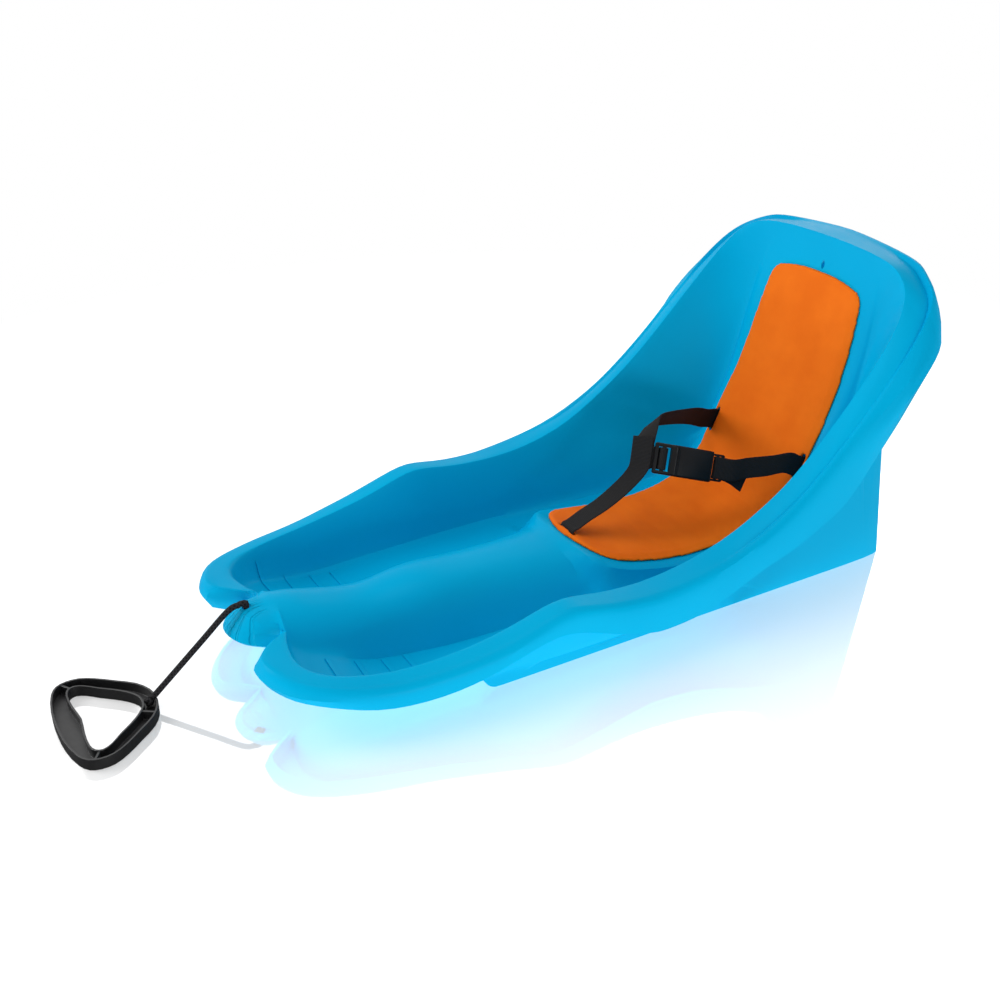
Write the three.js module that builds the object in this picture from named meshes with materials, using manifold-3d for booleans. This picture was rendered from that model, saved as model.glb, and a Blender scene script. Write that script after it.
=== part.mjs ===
// A baby pull sled: a moulded shell with a padded seat, a lap belt with a side-release buckle, and a pull rope
// with a triangular grip. Millimetres. X runs across, Y from the nose to the back rest, and Z up from the ground.
import * as THREE from "three";
import { mergeVertices } from "three/addons/utils/BufferGeometryUtils.js";
import Module from "manifold-3d";

const wasm = await Module();
wasm.setup();

// Shell. The opening is measured between the inner edges of the rim, along and across the seat.
const openingHalf = 159;
const openingLength = 710;
const backHeight = 345;
const shellWall = 3;
const rimWidth = 32;
const skirtDepth = 60;
const skirtFlare = 6.5;
const wallRun = 58;
const floorHeight = 8;
const noseHeight = 84.5;
const edgeRound = 4;
const grooveDepth = 2.5;
const lipHeight = 6;
const backRoll = 11;
const humpHalf = 66;
const seatHalf = 92;
const seatHeight = 33;
const seatEdgeRound = 3;
const backBow = 4;
const wallBlend = 14;
const floorBlend = 16;
const seatBlend = 10;
const humpBlend = 6;
const toeRibDepth = 1.2;
const toeRibWidth = 5;

// Runner ribs under the two leg channels, and the plinth that carries the back.
const runnerWall = 3;
const runnerHalf = 140;
const innerRunnerHalf = 82;
const plinthFront = 118;
const plinthRear = 383;
const plinthWall = 3;

// Openings in the shell.
const ropeHole = 9;
const slotLength = 31;
const slotWidth = 5;
const leafLength = 11;
const leafWidth = 5;

// Pad.
const padThickness = 5;
const padHalf = 83;
const padEdgeRound = 2;
const padCrown = 1.2;

// Webbing, and the plates that hold its ends behind the slots.
const webWidth = 25;
const webThickness = 1.6;
const tailLength = 39;
const anchorLength = 36;
const anchorWidth = 16;
const anchorThickness = 2.6;
const anchorBar = 3.4;
const anchorRail = 3;
const anchorDrop = 1.6;

// Buckle. The housing is measured from its strap bars to its mouth.
const buckleLength = 66;
const buckleWidth = 35;
const buckleThickness = 10.5;
const buckleRound = 2.6;
const buckleWall = 2.1;
const buckleSideWall = 2.5;
const barZone = 20;
const barLength = 3.5;
const barThickness = 4;
const barGap = 5.5;
const barRail = 4;
const gripRidge = 2;
const gripRidgeRise = 0.8;
const windowLength = 16;
const windowHeight = 5;
const windowInset = 22;
const catchLength = 1;
const catchDepth = 1.8;
const tongueWidth = 8;
const tongueThickness = 4;
const tongueReach = 38;
const plugRoot = 6;
const shoulderLength = 3;
const ladderHalf = 15.5;
const ladderRail = 2.4;
const ladderThickness = 3.2;
const ladderBar = 3;
const ladderGap = 3.6;
const prongWidth = 2.6;
const prongThickness = 4.6;
const prongSpread = 11.4;
const prongTip = 35;
const prongHead = 3.2;

// Pull rope, its two knots and the grip.
const ropeDiameter = 6;
const ropeTurn = 7;
const knotRadius = 5.2;
const noseKnotRadius = 6.6;
const handleHeight = 12;
const handleFloor = 2;
const handleWall = 2;
const handleHalf = 67;
const handleLength = 95;
const handleRib = 2.2;
const ropeNotch = 7.5;

// Clearances and the overrun of every cut.
const seatGap = 0.3;
const slideGap = 0.3;
const overrun = 10;

// The rim from the nose to the back, one row for each place: the inner edge as shares of openingHalf,
// openingLength and backHeight, the turn of the rim in plan in degrees from +X, the rim's width and its drop as
// shares of rimWidth, the skirt as a share of skirtDepth, the wall's run as a share of wallRun, the channel
// floor's rise as a share of backHeight, the place on the centre line as a share of openingLength, and how open
// the tub is there.
const rimShares = [
  [0, -0.5183, 0.2319, -90, 0.344, 0.3125, 0.283, 0.1724, 0.15, -0.5085, 0],
  [0.0755, -0.5155, 0.229, -80, 0.344, 0.3125, 0.267, 0.1724, 0.15, -0.5028, 0],
  [0.1384, -0.5056, 0.2174, -60, 0.297, 0.2812, 0.217, 0.1724, 0.15, -0.4958, 0],
  [0.1698, -0.4915, 0.2058, -30, 0.25, 0.2188, 0.2, 0.1724, 0.15, -0.4873, 0],
  [0.2075, -0.4789, 0.1942, -27, 0.25, 0.0938, 0.28, 0.1379, 0.145, -0.4789, 0.25],
  [0.2642, -0.4746, 0.2014, -70, 0.344, -0.0156, 0.38, 0.1034, 0.145, -0.4704, 0.8],
  [0.327, -0.4803, 0.2, -83, 0.594, -0.0938, 0.433, 0.1552, 0.1333, -0.462, 1],
  [0.4151, -0.4859, 0.1986, -85, 0.9375, -0.1094, 0.417, 0.2241, 0.119, -0.4507, 1],
  [0.5157, -0.4887, 0.1971, -84, 0.9375, -0.1562, 0.42, 0.2586, 0.107, -0.438, 1],
  [0.6164, -0.4859, 0.1942, -80, 0.828, -0.125, 0.39, 0.2759, 0.0956, -0.4254, 1],
  [0.7107, -0.4746, 0.1913, -72, 0.797, -0.0625, 0.36, 0.2931, 0.084, -0.4127, 1],
  [0.7799, -0.4563, 0.1884, -62, 0.734, -0.0156, 0.34, 0.2931, 0.0696, -0.3986, 1],
  [0.8365, -0.4324, 0.1855, -48, 0.6562, 0.0312, 0.35, 0.2931, 0.0493, -0.3831, 1],
  [0.8868, -0.4014, 0.1843, -30, 0.6438, 0.0813, 0.367, 0.3103, 0.0261, -0.3648, 1],
  [0.9182, -0.369, 0.1861, -17, 0.625, 0.1094, 0.3583, 0.3103, 0.0116, -0.3437, 1],
  [0.9434, -0.331, 0.1913, -8.5, 0.6312, 0.0938, 0.3667, 0.3103, 0.0014, -0.3169, 1],
  [0.9623, -0.2887, 0.2029, -3, 0.6875, 0.0625, 0.35, 0.3276, 0, -0.2831, 1],
  [0.9748, -0.2465, 0.2174, 0, 0.7188, 0.0312, 0.2833, 0.3276, 0, -0.2451, 1],
  [0.9811, -0.2042, 0.2406, 0, 0.7188, 0, 0.2667, 0.3448, 0, -0.2042, 1],
  [0.9874, -0.1662, 0.2667, 0, 0.6875, 0, 0.3167, 0.3448, 0, -0.1662, 1],
  [0.9937, -0.138, 0.2783, 0, 0.6875, 0.0156, 0.4, 0.3448, 0, -0.138, 1],
  [1, -0.1056, 0.2681, 0, 0.7188, 0.0469, 0.45, 0.3448, 0, -0.1056, 1],
  [1, -0.0634, 0.2522, 0, 0.8125, 0.0781, 0.5167, 0.3448, 0, -0.0634, 1],
  [1, -0.0141, 0.2478, 0, 0.8906, 0.0781, 0.6333, 0.3448, 0, -0.0141, 1],
  [0.9937, 0.0352, 0.2522, 0, 0.9688, 0.0469, 0.6583, 0.3448, 0, 0.0352, 1],
  [0.9906, 0.0845, 0.2667, 0, 0.9844, 0.0312, 0.6667, 0.3534, 0.0014, 0.0845, 1],
  [0.9906, 0.1338, 0.2928, 0, 0.9531, 0.0625, 0.6, 0.3793, 0.0058, 0.1338, 1],
  [0.9969, 0.1831, 0.3391, 0, 0.8906, 0.125, 0.5833, 0.5172, 0.0145, 0.1831, 1],
  [1.0031, 0.2324, 0.4029, 0, 0.8438, 0.1875, 0.7667, 0.7069, 0.0261, 0.2324, 1],
  [0.9969, 0.2817, 0.4812, 0, 0.8438, 0.2188, 0.9333, 0.8448, 0.0464, 0.2817, 1],
  [0.9874, 0.331, 0.5768, 1, 0.8438, 0.25, 1.1667, 0.9483, 0.0812, 0.331, 1],
  [0.978, 0.3803, 0.6841, 4, 0.8438, 0.2812, 1.1, 1, 0.1565, 0.3746, 1],
  [0.956, 0.4268, 0.7913, 12, 0.875, 0.2812, 1.0667, 0.9655, 0.2899, 0.4113, 1],
  [0.9182, 0.4563, 0.8696, 27, 0.9375, 0.2812, 0.9167, 0.8276, 0.4551, 0.4352, 1],
  [0.8491, 0.4761, 0.9304, 44, 1.0312, 0.2812, 0.8, 0.6552, 0.629, 0.4535, 1],
  [0.7421, 0.4866, 0.9681, 60, 0.969, 0.2344, 0.8167, 0.4483, 0.7536, 0.469, 1],
  [0.6101, 0.493, 0.9884, 72, 1.0625, 0.125, 0.8833, 0.2069, 0.8696, 0.4817, 1],
  [0.4403, 0.4965, 0.9957, 80, 1.0938, 0.0312, 0.95, 0.1379, 0.9188, 0.4915, 0],
  [0.2201, 0.4993, 0.9986, 86, 1.0625, -0.0625, 0.9667, 0.1379, 0.9333, 0.4972, 0],
  [0, 0.5, 1, 90, 1.0625, -0.125, 0.9833, 0.1379, 0.9333, 0.5, 0],
];

// The centre hump from the nose to the seat: its place as a share of openingLength, its crest as a share of
// noseHeight and its half width as a share of humpHalf.
const humpShares = [
  [-0.5282, 0.923, 0.515],
  [-0.5085, 0.97, 0.561],
  [-0.493, 0.994, 0.591],
  [-0.4761, 1, 0.636],
  [-0.4507, 0.982, 0.697],
  [-0.4183, 0.911, 0.758],
  [-0.3873, 0.84, 0.803],
  [-0.3563, 0.787, 0.833],
  [-0.3254, 0.757, 0.848],
  [-0.3014, 0.769, 0.864],
  [-0.2873, 0.805, 0.894],
  [-0.2761, 0.84, 0.939],
  [-0.262, 0.846, 0.97],
  [-0.2268, 0.817, 1],
  [-0.1761, 0.769, 1.015],
  [-0.1225, 0.734, 1.045],
  [-0.0704, 0.716, 1.091],
  [-0.0282, 0.71, 1.167],
  [0, 0.7, 1.212],
  [0.0352, 0.55, 1.258],
  [0.0845, 0.35, 1.288],
];

// The seat and back rest on the centre line: the place as a share of openingLength and the rise over seatHeight
// as a share of what backHeight leaves.
const seatShares = [
  [-0.0282, 0.102],
  [-0.0022, 0.0909],
  [0.0086, 0.0833],
  [0.0195, 0.0724],
  [0.0314, 0.0606],
  [0.0559, 0.0442],
  [0.0815, 0.0311],
  [0.1085, 0.0186],
  [0.137, 0.0076],
  [0.1656, 0.0004],
  [0.1971, -0.0028],
  [0.2258, -0.0009],
  [0.2546, 0.0057],
  [0.2833, 0.0174],
  [0.3122, 0.0349],
  [0.3362, 0.0573],
  [0.3561, 0.0938],
  [0.3725, 0.1431],
  [0.3855, 0.1992],
  [0.3969, 0.254],
  [0.4109, 0.3179],
  [0.4264, 0.3856],
  [0.4407, 0.4573],
  [0.4522, 0.529],
  [0.4635, 0.6132],
  [0.4734, 0.6972],
  [0.4819, 0.7743],
  [0.489, 0.8387],
  [0.4935, 0.886],
  [0.4953, 0.9133],
  [0.4976, 0.9551],
  [0.5, 1],
];

// The raised seat in plan, half of it: shares of seatHalf and of openingLength.
const seatEdgeShares = [
  [-1, -0.0113],
  [0, -0.0113],
  [0.2174, -0.0106],
  [0.413, -0.0063],
  [0.587, 0.0014],
  [0.7174, 0.0141],
  [0.8043, 0.0296],
  [0.8587, 0.0507],
  [0.8913, 0.0775],
  [0.913, 0.1127],
  [0.9293, 0.1549],
  [0.9348, 0.2113],
  [0.9402, 0.2676],
  [0.9511, 0.3239],
  [0.9674, 0.3732],
  [0.9837, 0.4225],
  [1, 0.4451],
  [1, 0.4648],
  [0.9946, 0.4817],
  [1.0109, 0.4958],
  [1.0326, 0.5634],
];

// How the shell's grid is spaced from the centre line outwards: columns on the hump as shares of its half width,
// on the seat as shares of its half width, on the channel floor between foot and wall, and on the wall as shares
// of its run.
const humpColumnShares = [0, 0.28, 0.52, 0.73, 0.9, 1.04];
const seatColumnShares = [0, 0.36, 0.7, 0.91, 1, 1.08];
const floorColumnShares = [0.45, 0.92];
const wallColumnShares = [0.97, 0.82, 0.6, 0.33];
const closedColumnShares = [0, 0.2, 0.38, 0.54, 0.67, 0.77, 0.84, 0.89, 0.925, 0.95, 0.967, 0.98, 0.99];
const rimColumnShares = [0.5, 0.78];
const skirtColumnShares = [
  [0.5, 0.1, 0.75],
  [0.85, 0.36, 1],
  [1, 1, 0],
];
const toeSkirtColumnShares = [
  [0.6, 0.22],
  [1, 0.6],
  [0.1, 1],
];
const humpTopShare = 2.4;
const humpSideShare = 0.85;
const seatSideShare = 2.5;
const draftShare = 0.096;
const rimColumns = 6;

// Where the belts, the holes and the rope sit: shares of seatHalf, openingLength and backHeight.
const crotchSlotShares = [0, 0.0137];
const hipSlotShares = [0.826, 0.392];
const leafShares = [0, 0.4941];
const ropeHoleShare = -0.5085;
const buckleStartShares = [0.1424, 0.1635, 0.3797];
const buckleEndShares = [0.4543, 0.2546, 0.3316];
const buckleLean = 27;
const seamTurn = 40;
const seamReach = 16.2;
const seamBack = 1;
const seamEnd = 22;
const foldShift = 0;
const foldTurns = [0, 45, 90, 135, 180];

// Belt routes: places as shares of seatHalf, openingLength and backHeight, then the direction of the width.
const crotchRouteShares = [
  [0, 0.0268, 0.1928, 1, 0, 0],
  [0, 0.0473, 0.211, 1, 0.02, 0],
  [0.0054, 0.0806, 0.2374, 1, 0.08, 0],
  [0.0217, 0.1108, 0.275, 1, 0.2, 0],
  [0.034, 0.129, 0.304, 0.97, 0.36, 0.04],
];
const farRouteShares = [
  [-0.772, 0.3606, 0.3304, 0.12, 0.38, 0.92],
  [-0.65, 0.3239, 0.3681, 0.24, 0.4, 0.88],
  [-0.5, 0.2803, 0.4029, 0.34, 0.44, 0.82],
  [-0.359, 0.2338, 0.4319, 0.4, 0.46, 0.78],
  [-0.25, 0.1972, 0.4493, 0.46, 0.52, 0.7],
];
const nearRouteShares = [
  [0.609, 0.3035, 0.3217, -0.24, 0.42, 0.87],
  [0.717, 0.3394, 0.3246, -0.16, 0.42, 0.88],
  [0.799, 0.3676, 0.3304, -0.06, 0.42, 0.9],
];

// The plinth and the runners: their outline as shares of runnerHalf, and of the length from front to rear.
const plinthSideShares = [0, 0.3, 0.58, 0.8566];
const plinthCornerShares = [
  [1, 0.8566],
  [0.971, 0.9057],
  [0.907, 0.9434],
  [0.786, 0.9698],
];
const runnerFrontShare = -0.25;
const runnerRiseShare = 0.03;
const innerRunnerRearShare = 0.42;
const footRibShares = [-0.4296, -0.3873, -0.3465, -0.3127];
const footRibInnerShare = 0.92;
const footRibOuterShare = 0.79;

// The pad's outline, half of it: places as shares of openingLength and half widths as shares of padHalf.
const padShares = [
  [0.0042, 0.1],
  [0.0063, 0.2],
  [0.0106, 0.335],
  [0.0183, 0.5],
  [0.0282, 0.64],
  [0.0394, 0.733],
  [0.0507, 0.79],
  [0.0718, 0.83],
  [0.0944, 0.855],
  [0.1183, 0.873],
  [0.1437, 0.883],
  [0.176, 0.889],
  [0.2225, 0.892],
  [0.2535, 0.897],
  [0.2817, 0.908],
  [0.3099, 0.927],
  [0.3324, 0.947],
  [0.3522, 0.964],
  [0.3693, 0.978],
  [0.3835, 0.99],
  [0.3965, 0.996],
  [0.411, 0.993],
  [0.4253, 0.986],
  [0.4384, 0.978],
  [0.4501, 0.969],
  [0.4618, 0.958],
  [0.471, 0.939],
  [0.48, 0.908],
  [0.4839, 0.887],
  [0.4868, 0.863],
  [0.4886, 0.822],
  [0.49, 0.753],
  [0.4909, 0.614],
  [0.4916, 0.446],
  [0.4921, 0.265],
];
const padColumnShares = [-1, -0.86, -0.6, -0.3, 0, 0.3, 0.6, 0.86, 1];

// The grip's outer and inner outline, half of each: shares of handleHalf and of handleLength.
const gripShares = [
  [0, 0, 0, 0.158],
  [0.209, 0.021, 0.119, 0.168],
  [0.448, 0.116, 0.284, 0.242],
  [0.672, 0.295, 0.448, 0.358],
  [0.866, 0.463, 0.597, 0.484],
  [0.985, 0.611, 0.739, 0.589],
  [1, 0.747, 0.806, 0.684],
  [0.94, 0.853, 0.769, 0.747],
  [0.776, 0.926, 0.642, 0.779],
  [0.373, 0.989, 0.328, 0.774],
  [0, 1, 0, 0.747],
];
const gripRibShares = [1.6, 6.5];

// The rope between the nose and the grip.
const gripFrontShare = -0.6465;
const ropeSteps = 24;

const radians = Math.PI / 180;

// The value between 0 and 1 that eases in and out between two ends.
function ease(value, low, high) {
  const t = Math.min(1, Math.max(0, (value - low) / (high - low)));
  return t * t * (3 - 2 * t);
}

// The larger of two heights, rounded where they cross.
function roundedMax(a, b, reach) {
  const lap = reach - Math.abs(a - b);
  return Math.max(a, b) + (lap > 0 ? (lap * lap) / (4 * reach) : 0);
}

// A smooth curve through a table's rows, read at a value of the first column. Each piece is a cubic whose
// slopes never overshoot the neighbouring rows.
function readTable(rows, at, column) {
  let i = 0;
  while (i < rows.length - 2 && at > rows[i + 1][0]) i++;
  const slope = (k) => {
    if (k < 0 || k > rows.length - 2) return null;
    return (rows[k + 1][column] - rows[k][column]) / (rows[k + 1][0] - rows[k][0]);
  };
  const tangent = (k) => {
    const before = slope(k - 1);
    const after = slope(k);
    if (before === null) return after;
    if (after === null) return before;
    return before * after > 0 ? (2 * before * after) / (before + after) : 0;
  };
  const span = rows[i + 1][0] - rows[i][0];
  const t = (at - rows[i][0]) / span;
  if (t <= 0) return rows[i][column] + (at - rows[i][0]) * tangent(i);
  if (t >= 1) return rows[i + 1][column] + (at - rows[i + 1][0]) * tangent(i + 1);
  const t2 = t * t;
  const t3 = t2 * t;
  return (
    rows[i][column] * (2 * t3 - 3 * t2 + 1) +
    tangent(i) * span * (t3 - 2 * t2 + t) +
    rows[i + 1][column] * (3 * t2 - 2 * t3) +
    tangent(i + 1) * span * (t3 - t2)
  );
}

// A row of the rim table at a place between its rows.
function readRim(place) {
  const last = rimShares.length - 1;
  const i = Math.min(last - 1, Math.floor(place));
  const t = place - i;
  const rows = [Math.max(0, i - 1), i, i + 1, Math.min(last, i + 2)].map((k) => rimShares[k]);
  return rows[0].map((unused, c) => {
    const [a, b, d, e] = rows.map((row) => row[c]);
    return b + 0.5 * t * (d - a + t * (2 * a - 5 * b + 4 * d - e + t * (3 * (b - d) + e - a)));
  });
}

// How far the back rest bows forward at a distance from its middle.
function bowAt(x, y) {
  const rise = readTable(seatShares, y / openingLength, 1);
  return backBow * (x / seatHalf) ** 2 * ease(rise, 0, 1);
}

// Height of the seat and the back rest.
function seatTop(x, y) {
  const lift = readTable(seatShares, (y + bowAt(x, y)) / openingLength, 1);
  return seatHeight + lift * (backHeight - seatHeight);
}

// Height of the centre hump.
function humpTop(x, y, floor) {
  const crest = noseHeight * readTable(humpShares, y / openingLength, 1);
  const half = humpHalf * readTable(humpShares, y / openingLength, 2);
  const inside = Math.min(1, Math.max(0, 1 - Math.abs(x) / half));
  return floor + (crest - floor) * (1 - (1 - inside) ** humpTopShare) ** humpSideShare;
}

// Distance outside the raised seat's edge in plan, negative inside it.
function outsideSeat(x, y) {
  const points = seatEdgeShares.map(([a, b]) => [a * seatHalf, b * openingLength]);
  let nearest = Infinity;
  let sign = 1;
  for (let i = 0; i + 1 < points.length; i++) {
    const [ax, ay] = points[i];
    const [bx, by] = points[i + 1];
    const along = ((x - ax) * (bx - ax) + (y - ay) * (by - ay)) / ((bx - ax) ** 2 + (by - ay) ** 2);
    const t = Math.min(1, Math.max(0, along));
    const away = Math.hypot(x - ax - t * (bx - ax), y - ay - t * (by - ay));
    if (away < nearest) {
      nearest = away;
      sign = (bx - ax) * (y - ay) - (by - ay) * (x - ax) < 0 ? 1 : -1;
    }
  }
  return nearest * sign;
}

// Half width of the raised seat at a place along it.
function seatHalfAt(y) {
  const share = y / openingLength;
  const rows = seatEdgeShares.slice(5).map(([a, b]) => [b, a]);
  return seatHalf * readTable(rows, Math.max(share, rows[0][0]), 1);
}

// Height of the moulded surface inside the rim, for a point on the line from the centre to the rim's edge.
function tubHeight(x, y, inward, edgeHeight, floorAt, run) {
  const floor = floorHeight + floorAt * backHeight;
  const wall = edgeHeight - (inward / run) * (edgeHeight - floor);
  const hump = humpTop(x, y, floor);
  const away = outsideSeat(Math.abs(x), y);
  const slope = (away + Math.hypot(away, seatEdgeRound)) / 2;
  const seat = seatTop(x, y) - seatSideShare * slope;
  const body = roundedMax(hump, seat, humpBlend);
  const under = Math.max(0, -away - seatBlend) * seatSideShare * ease(y, 0, openingLength / 4);
  const bottom = roundedMax(body, floor - under, y > 0 ? seatBlend : floorBlend);
  return roundedMax(bottom, wall, wallBlend);
}

// One line of the shell's grid from the centre to the lower edge of the skirt.
function shellLine(place) {
  const row = readRim(place);
  const edge = new THREE.Vector3(row[0] * openingHalf, row[1] * openingLength, row[2] * backHeight);
  const turn = row[3] * radians;
  const out = new THREE.Vector3(Math.cos(turn), Math.sin(turn), 0);
  const rim = row[4] * rimWidth;
  const drop = row[5] * rimWidth;
  const deep = row[6] * skirtDepth;
  const run = row[7] * wallRun;
  const start = row[9] * openingLength;
  const open = Math.min(1, Math.max(0, row[10]));
  const length = Math.hypot(edge.x, edge.y - start);
  const points = [];

  // From the centre to the rim's inner edge.
  const middle = ease(start, -openingLength / 11, openingLength / 28);
  const half = humpHalf * readTable(humpShares, start / openingLength, 2);
  const targets = humpColumnShares.map((h, i) => {
    const x = h * half * (1 - middle) + seatColumnShares[i] * seatHalfAt(start) * middle;
    return x / Math.max(edge.x, half * 0.01);
  });
  const foot = 1 - run / Math.max(length, run);
  const squeeze = Math.min(1, (foot * 0.96) / targets[5]);
  const steps = targets.map((t) => t * squeeze);
  for (const f of floorColumnShares) steps.push(steps[5] + (foot - steps[5]) * f);
  for (const w of wallColumnShares) steps.push(1 - (run * w) / Math.max(length, run));
  const wallSlope = (edge.z - floorHeight - row[8] * backHeight) / run;
  const edgeStep = edgeRound / Math.hypot(1, wallSlope);
  steps.push(1 - edgeStep / Math.max(length, run));
  const count = steps.length;
  const inner = (x, y, inward) => tubHeight(x, y, inward, edge.z, row[8], run);
  const plain = (x, y, t) => {
    const crest = noseHeight * readTable(humpShares, start / openingLength, 1);
    return edge.z + (crest - edge.z) * (1 - t * t);
  };
  const height = (t) => {
    const x = t * edge.x;
    const y = start + t * (edge.y - start);
    if (y > 0) return inner(x, y, (1 - t) * length);
    const closed = plain(x, y, t);
    return closed + (inner(x, y, (1 - t) * length) - closed) * open;
  };
  const miss = edge.z - height(1);
  for (let j = 0; j < count; j++) {
    const even = closedColumnShares[j];
    const t = length > 0 ? steps[j] * open + even * (1 - open) : even;
    const z = length > edgeRound ? height(t) + miss * t ** 4 : edge.z;
    points.push(new THREE.Vector3(t * edge.x, start + t * (edge.y - start), z));
  }

  // The rounded inner edge, the rim with its groove, and the rounded outer edge.
  const soft = edgeRound * open;
  points.push(edge.clone().addScaledVector(out, soft * 0.12).setZ(edge.z - soft * 0.2));
  const at = (share, lower) =>
    edge.clone().addScaledVector(out, rim * share).setZ(edge.z - drop * share - lower);
  const groove = grooveDepth * ease(start / openingLength, 0.05, 0.17) * ease(0.5 - start / openingLength, -0.01, 0.02);
  points.push(at(Math.min(0.25, (edgeRound * 0.85) / rim), 0));
  points.push(at(rimColumnShares[0], -groove * 0.1));
  points.push(at(rimColumnShares[1], groove));
  const roll = ease(start / openingLength, 0.34, 0.41) * (1 - ease(start / openingLength, 0.435, 0.46));
  const lip = lipHeight * ease(start / openingLength, 0.39, 0.45) * (1 - ease(start / openingLength, 0.472, 0.5));
  const toe = 1 - ease(start / openingLength, -0.42, -0.33);
  points.push(at(Math.max(0.8, 1 - (edgeRound * 0.9) / rim), groove * 0.2 - lip));
  points.push(at(1 - (edgeRound * 0.12) / rim, edgeRound * 0.22 - lip));
  skirtColumnShares.forEach(([a, b, c], i) => {
    const away = a + (toeSkirtColumnShares[i][0] - a) * toe;
    const down = b + (toeSkirtColumnShares[i][1] - b) * toe;
    const z = edge.z - drop - Math.max(edgeRound * 0.9, deep * down);
    const flare = skirtFlare * away * (c > 0 ? 1 : 1 - roll * 0.6);
    points.push(at(1, 0).addScaledVector(out, flare + backRoll * c * roll).setZ(z));
  });
  return points;
}

// The places of the grid's lines along the rim table: closer where the side wall climbs the back.
const shellPlaces = [];
for (let i = 0; i < rimShares.length; i++) {
  shellPlaces.push(i);
  if (i >= 28 && i < 36) shellPlaces.push(i + 0.5);
  if (i === 23) shellPlaces.push(i + 0.25, i + 0.5, i + 0.75);
  if (i === 24) shellPlaces.push(i + 0.5);
}

// A surface of points and triangles, mirrored in X. Every point keeps its place in the grid.
function shellSurface() {
  const lines = shellPlaces.map(shellLine);
  const last = lines.length - 1;
  const columns = lines[0].length;
  for (const line of [lines[0], lines[last]]) for (const point of line) point.x = 0;
  for (const line of lines) line[0].x = 0;
  const points = [];
  const triangles = [];
  for (const side of [1, -1]) {
    const base = points.length;
    for (const line of lines) for (const p of line) points.push(new THREE.Vector3(p.x * side, p.y, p.z));
    for (let i = 0; i < last; i++)
      for (let j = 0; j + 1 < columns; j++) {
        const a = base + i * columns + j;
        const b = a + 1;
        const c = a + columns;
        const d = c + 1;
        const pair = j < 13 && i < last / 2 ? [a, b, d, a, d, c] : [a, b, c, b, d, c];
        for (let k = 0; k < 6; k += 3) {
          const [p, q, r] = pair.slice(k, k + 3);
          triangles.push(side > 0 ? [p, q, r] : [p, r, q]);
        }
      }
  }
  return { points, triangles, columns, rows: lines.length };
}

// The outward normal of every point of a surface, shared by points in the same place.
function surfaceNormals({ points, triangles }) {
  const key = (p) => `${p.x.toFixed(4)},${p.y.toFixed(4)},${p.z.toFixed(4)}`;
  const sums = new Map();
  for (const p of points) sums.set(key(p).replaceAll("-0.0000", "0.0000"), new THREE.Vector3());
  for (const [a, b, c] of triangles) {
    const u = points[b].clone().sub(points[a]);
    const v = points[c].clone().sub(points[a]);
    const normal = u.cross(v);
    for (const i of [a, b, c]) sums.get(key(points[i]).replaceAll("-0.0000", "0.0000")).add(normal);
  }
  return points.map((p) => {
    const n = sums.get(key(p).replaceAll("-0.0000", "0.0000")).clone();
    if (p.x === 0) n.x = 0;
    return n.normalize();
  });
}

// A solid from points and triangles: points in one place are merged and flat triangles dropped.
function solidOf(points, triangles) {
  const geometry = new THREE.BufferGeometry().setFromPoints(points).setIndex(triangles.flat());
  return solidFrom(geometry);
}

function solidFrom(source) {
  const geometry = source.clone();
  geometry.deleteAttribute("normal");
  geometry.deleteAttribute("uv");
  const merged = mergeVertices(geometry, 1e-3);
  const index = [];
  for (let i = 0; i < merged.index.count; i += 3) {
    const [a, b, c] = [0, 1, 2].map((k) => merged.index.getX(i + k));
    if (a !== b && b !== c && a !== c) index.push(a, b, c);
  }
  return new wasm.Manifold(
    new wasm.Mesh({
      numProp: 3,
      vertProperties: merged.attributes.position.array,
      triVerts: new Uint32Array(index),
    }),
  );
}

function geometryOf(solid) {
  const mesh = solid.getMesh();
  const geometry = new THREE.BufferGeometry();
  geometry.setAttribute("position", new THREE.BufferAttribute(new Float32Array(mesh.vertProperties), 3));
  geometry.setIndex(new THREE.BufferAttribute(mesh.triVerts, 1));
  geometry.computeVertexNormals();
  return geometry;
}

const surface = shellSurface();
const normals = surfaceNormals(surface);

// The shell's skin: the top surface, the same surface moved in by the wall, and the strip that joins them along
// the lower edge of the skirt.
function shellSkin() {
  const { points, triangles, columns, rows } = surface;
  const count = points.length;
  const under = points.map((p, i) => p.clone().addScaledVector(normals[i], -shellWall));
  const all = [...triangles, ...triangles.map(([a, b, c]) => [a + count, c + count, b + count])];
  for (const side of [0, 1])
    for (let i = 0; i + 1 < rows; i++) {
      const a = side * rows * columns + i * columns + columns - 1;
      const b = a + columns;
      if (side === 0) all.push([a, a + count, b], [b, a + count, b + count]);
      else all.push([a, b, a + count], [b, b + count, a + count]);
    }
  return solidOf([...points, ...under], all);
}

// Everything below the moulded surface moved out by an offset, as far as the rim.
function belowSurface(offset) {
  const { points, triangles, columns, rows } = surface;
  const keep = columns - rimColumns;
  const count = points.length;
  const upper = points.map((p, i) => p.clone().addScaledVector(normals[i], offset));
  const lower = upper.map((p) => p.clone().setZ(-overrun));
  const all = [];
  const inside = (i) => i % columns <= keep;
  for (const [a, b, c] of triangles)
    if (inside(a) && inside(b) && inside(c)) all.push([a, b, c], [a + count, c + count, b + count]);
  for (const side of [0, 1])
    for (let i = 0; i + 1 < rows; i++) {
      const a = side * rows * columns + i * columns + keep;
      const b = a + columns;
      if (side === 0) all.push([a, a + count, b], [b, a + count, b + count]);
      else all.push([a, b, a + count], [b, b + count, a + count]);
    }
  return solidOf([...upper, ...lower], all);
}

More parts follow.
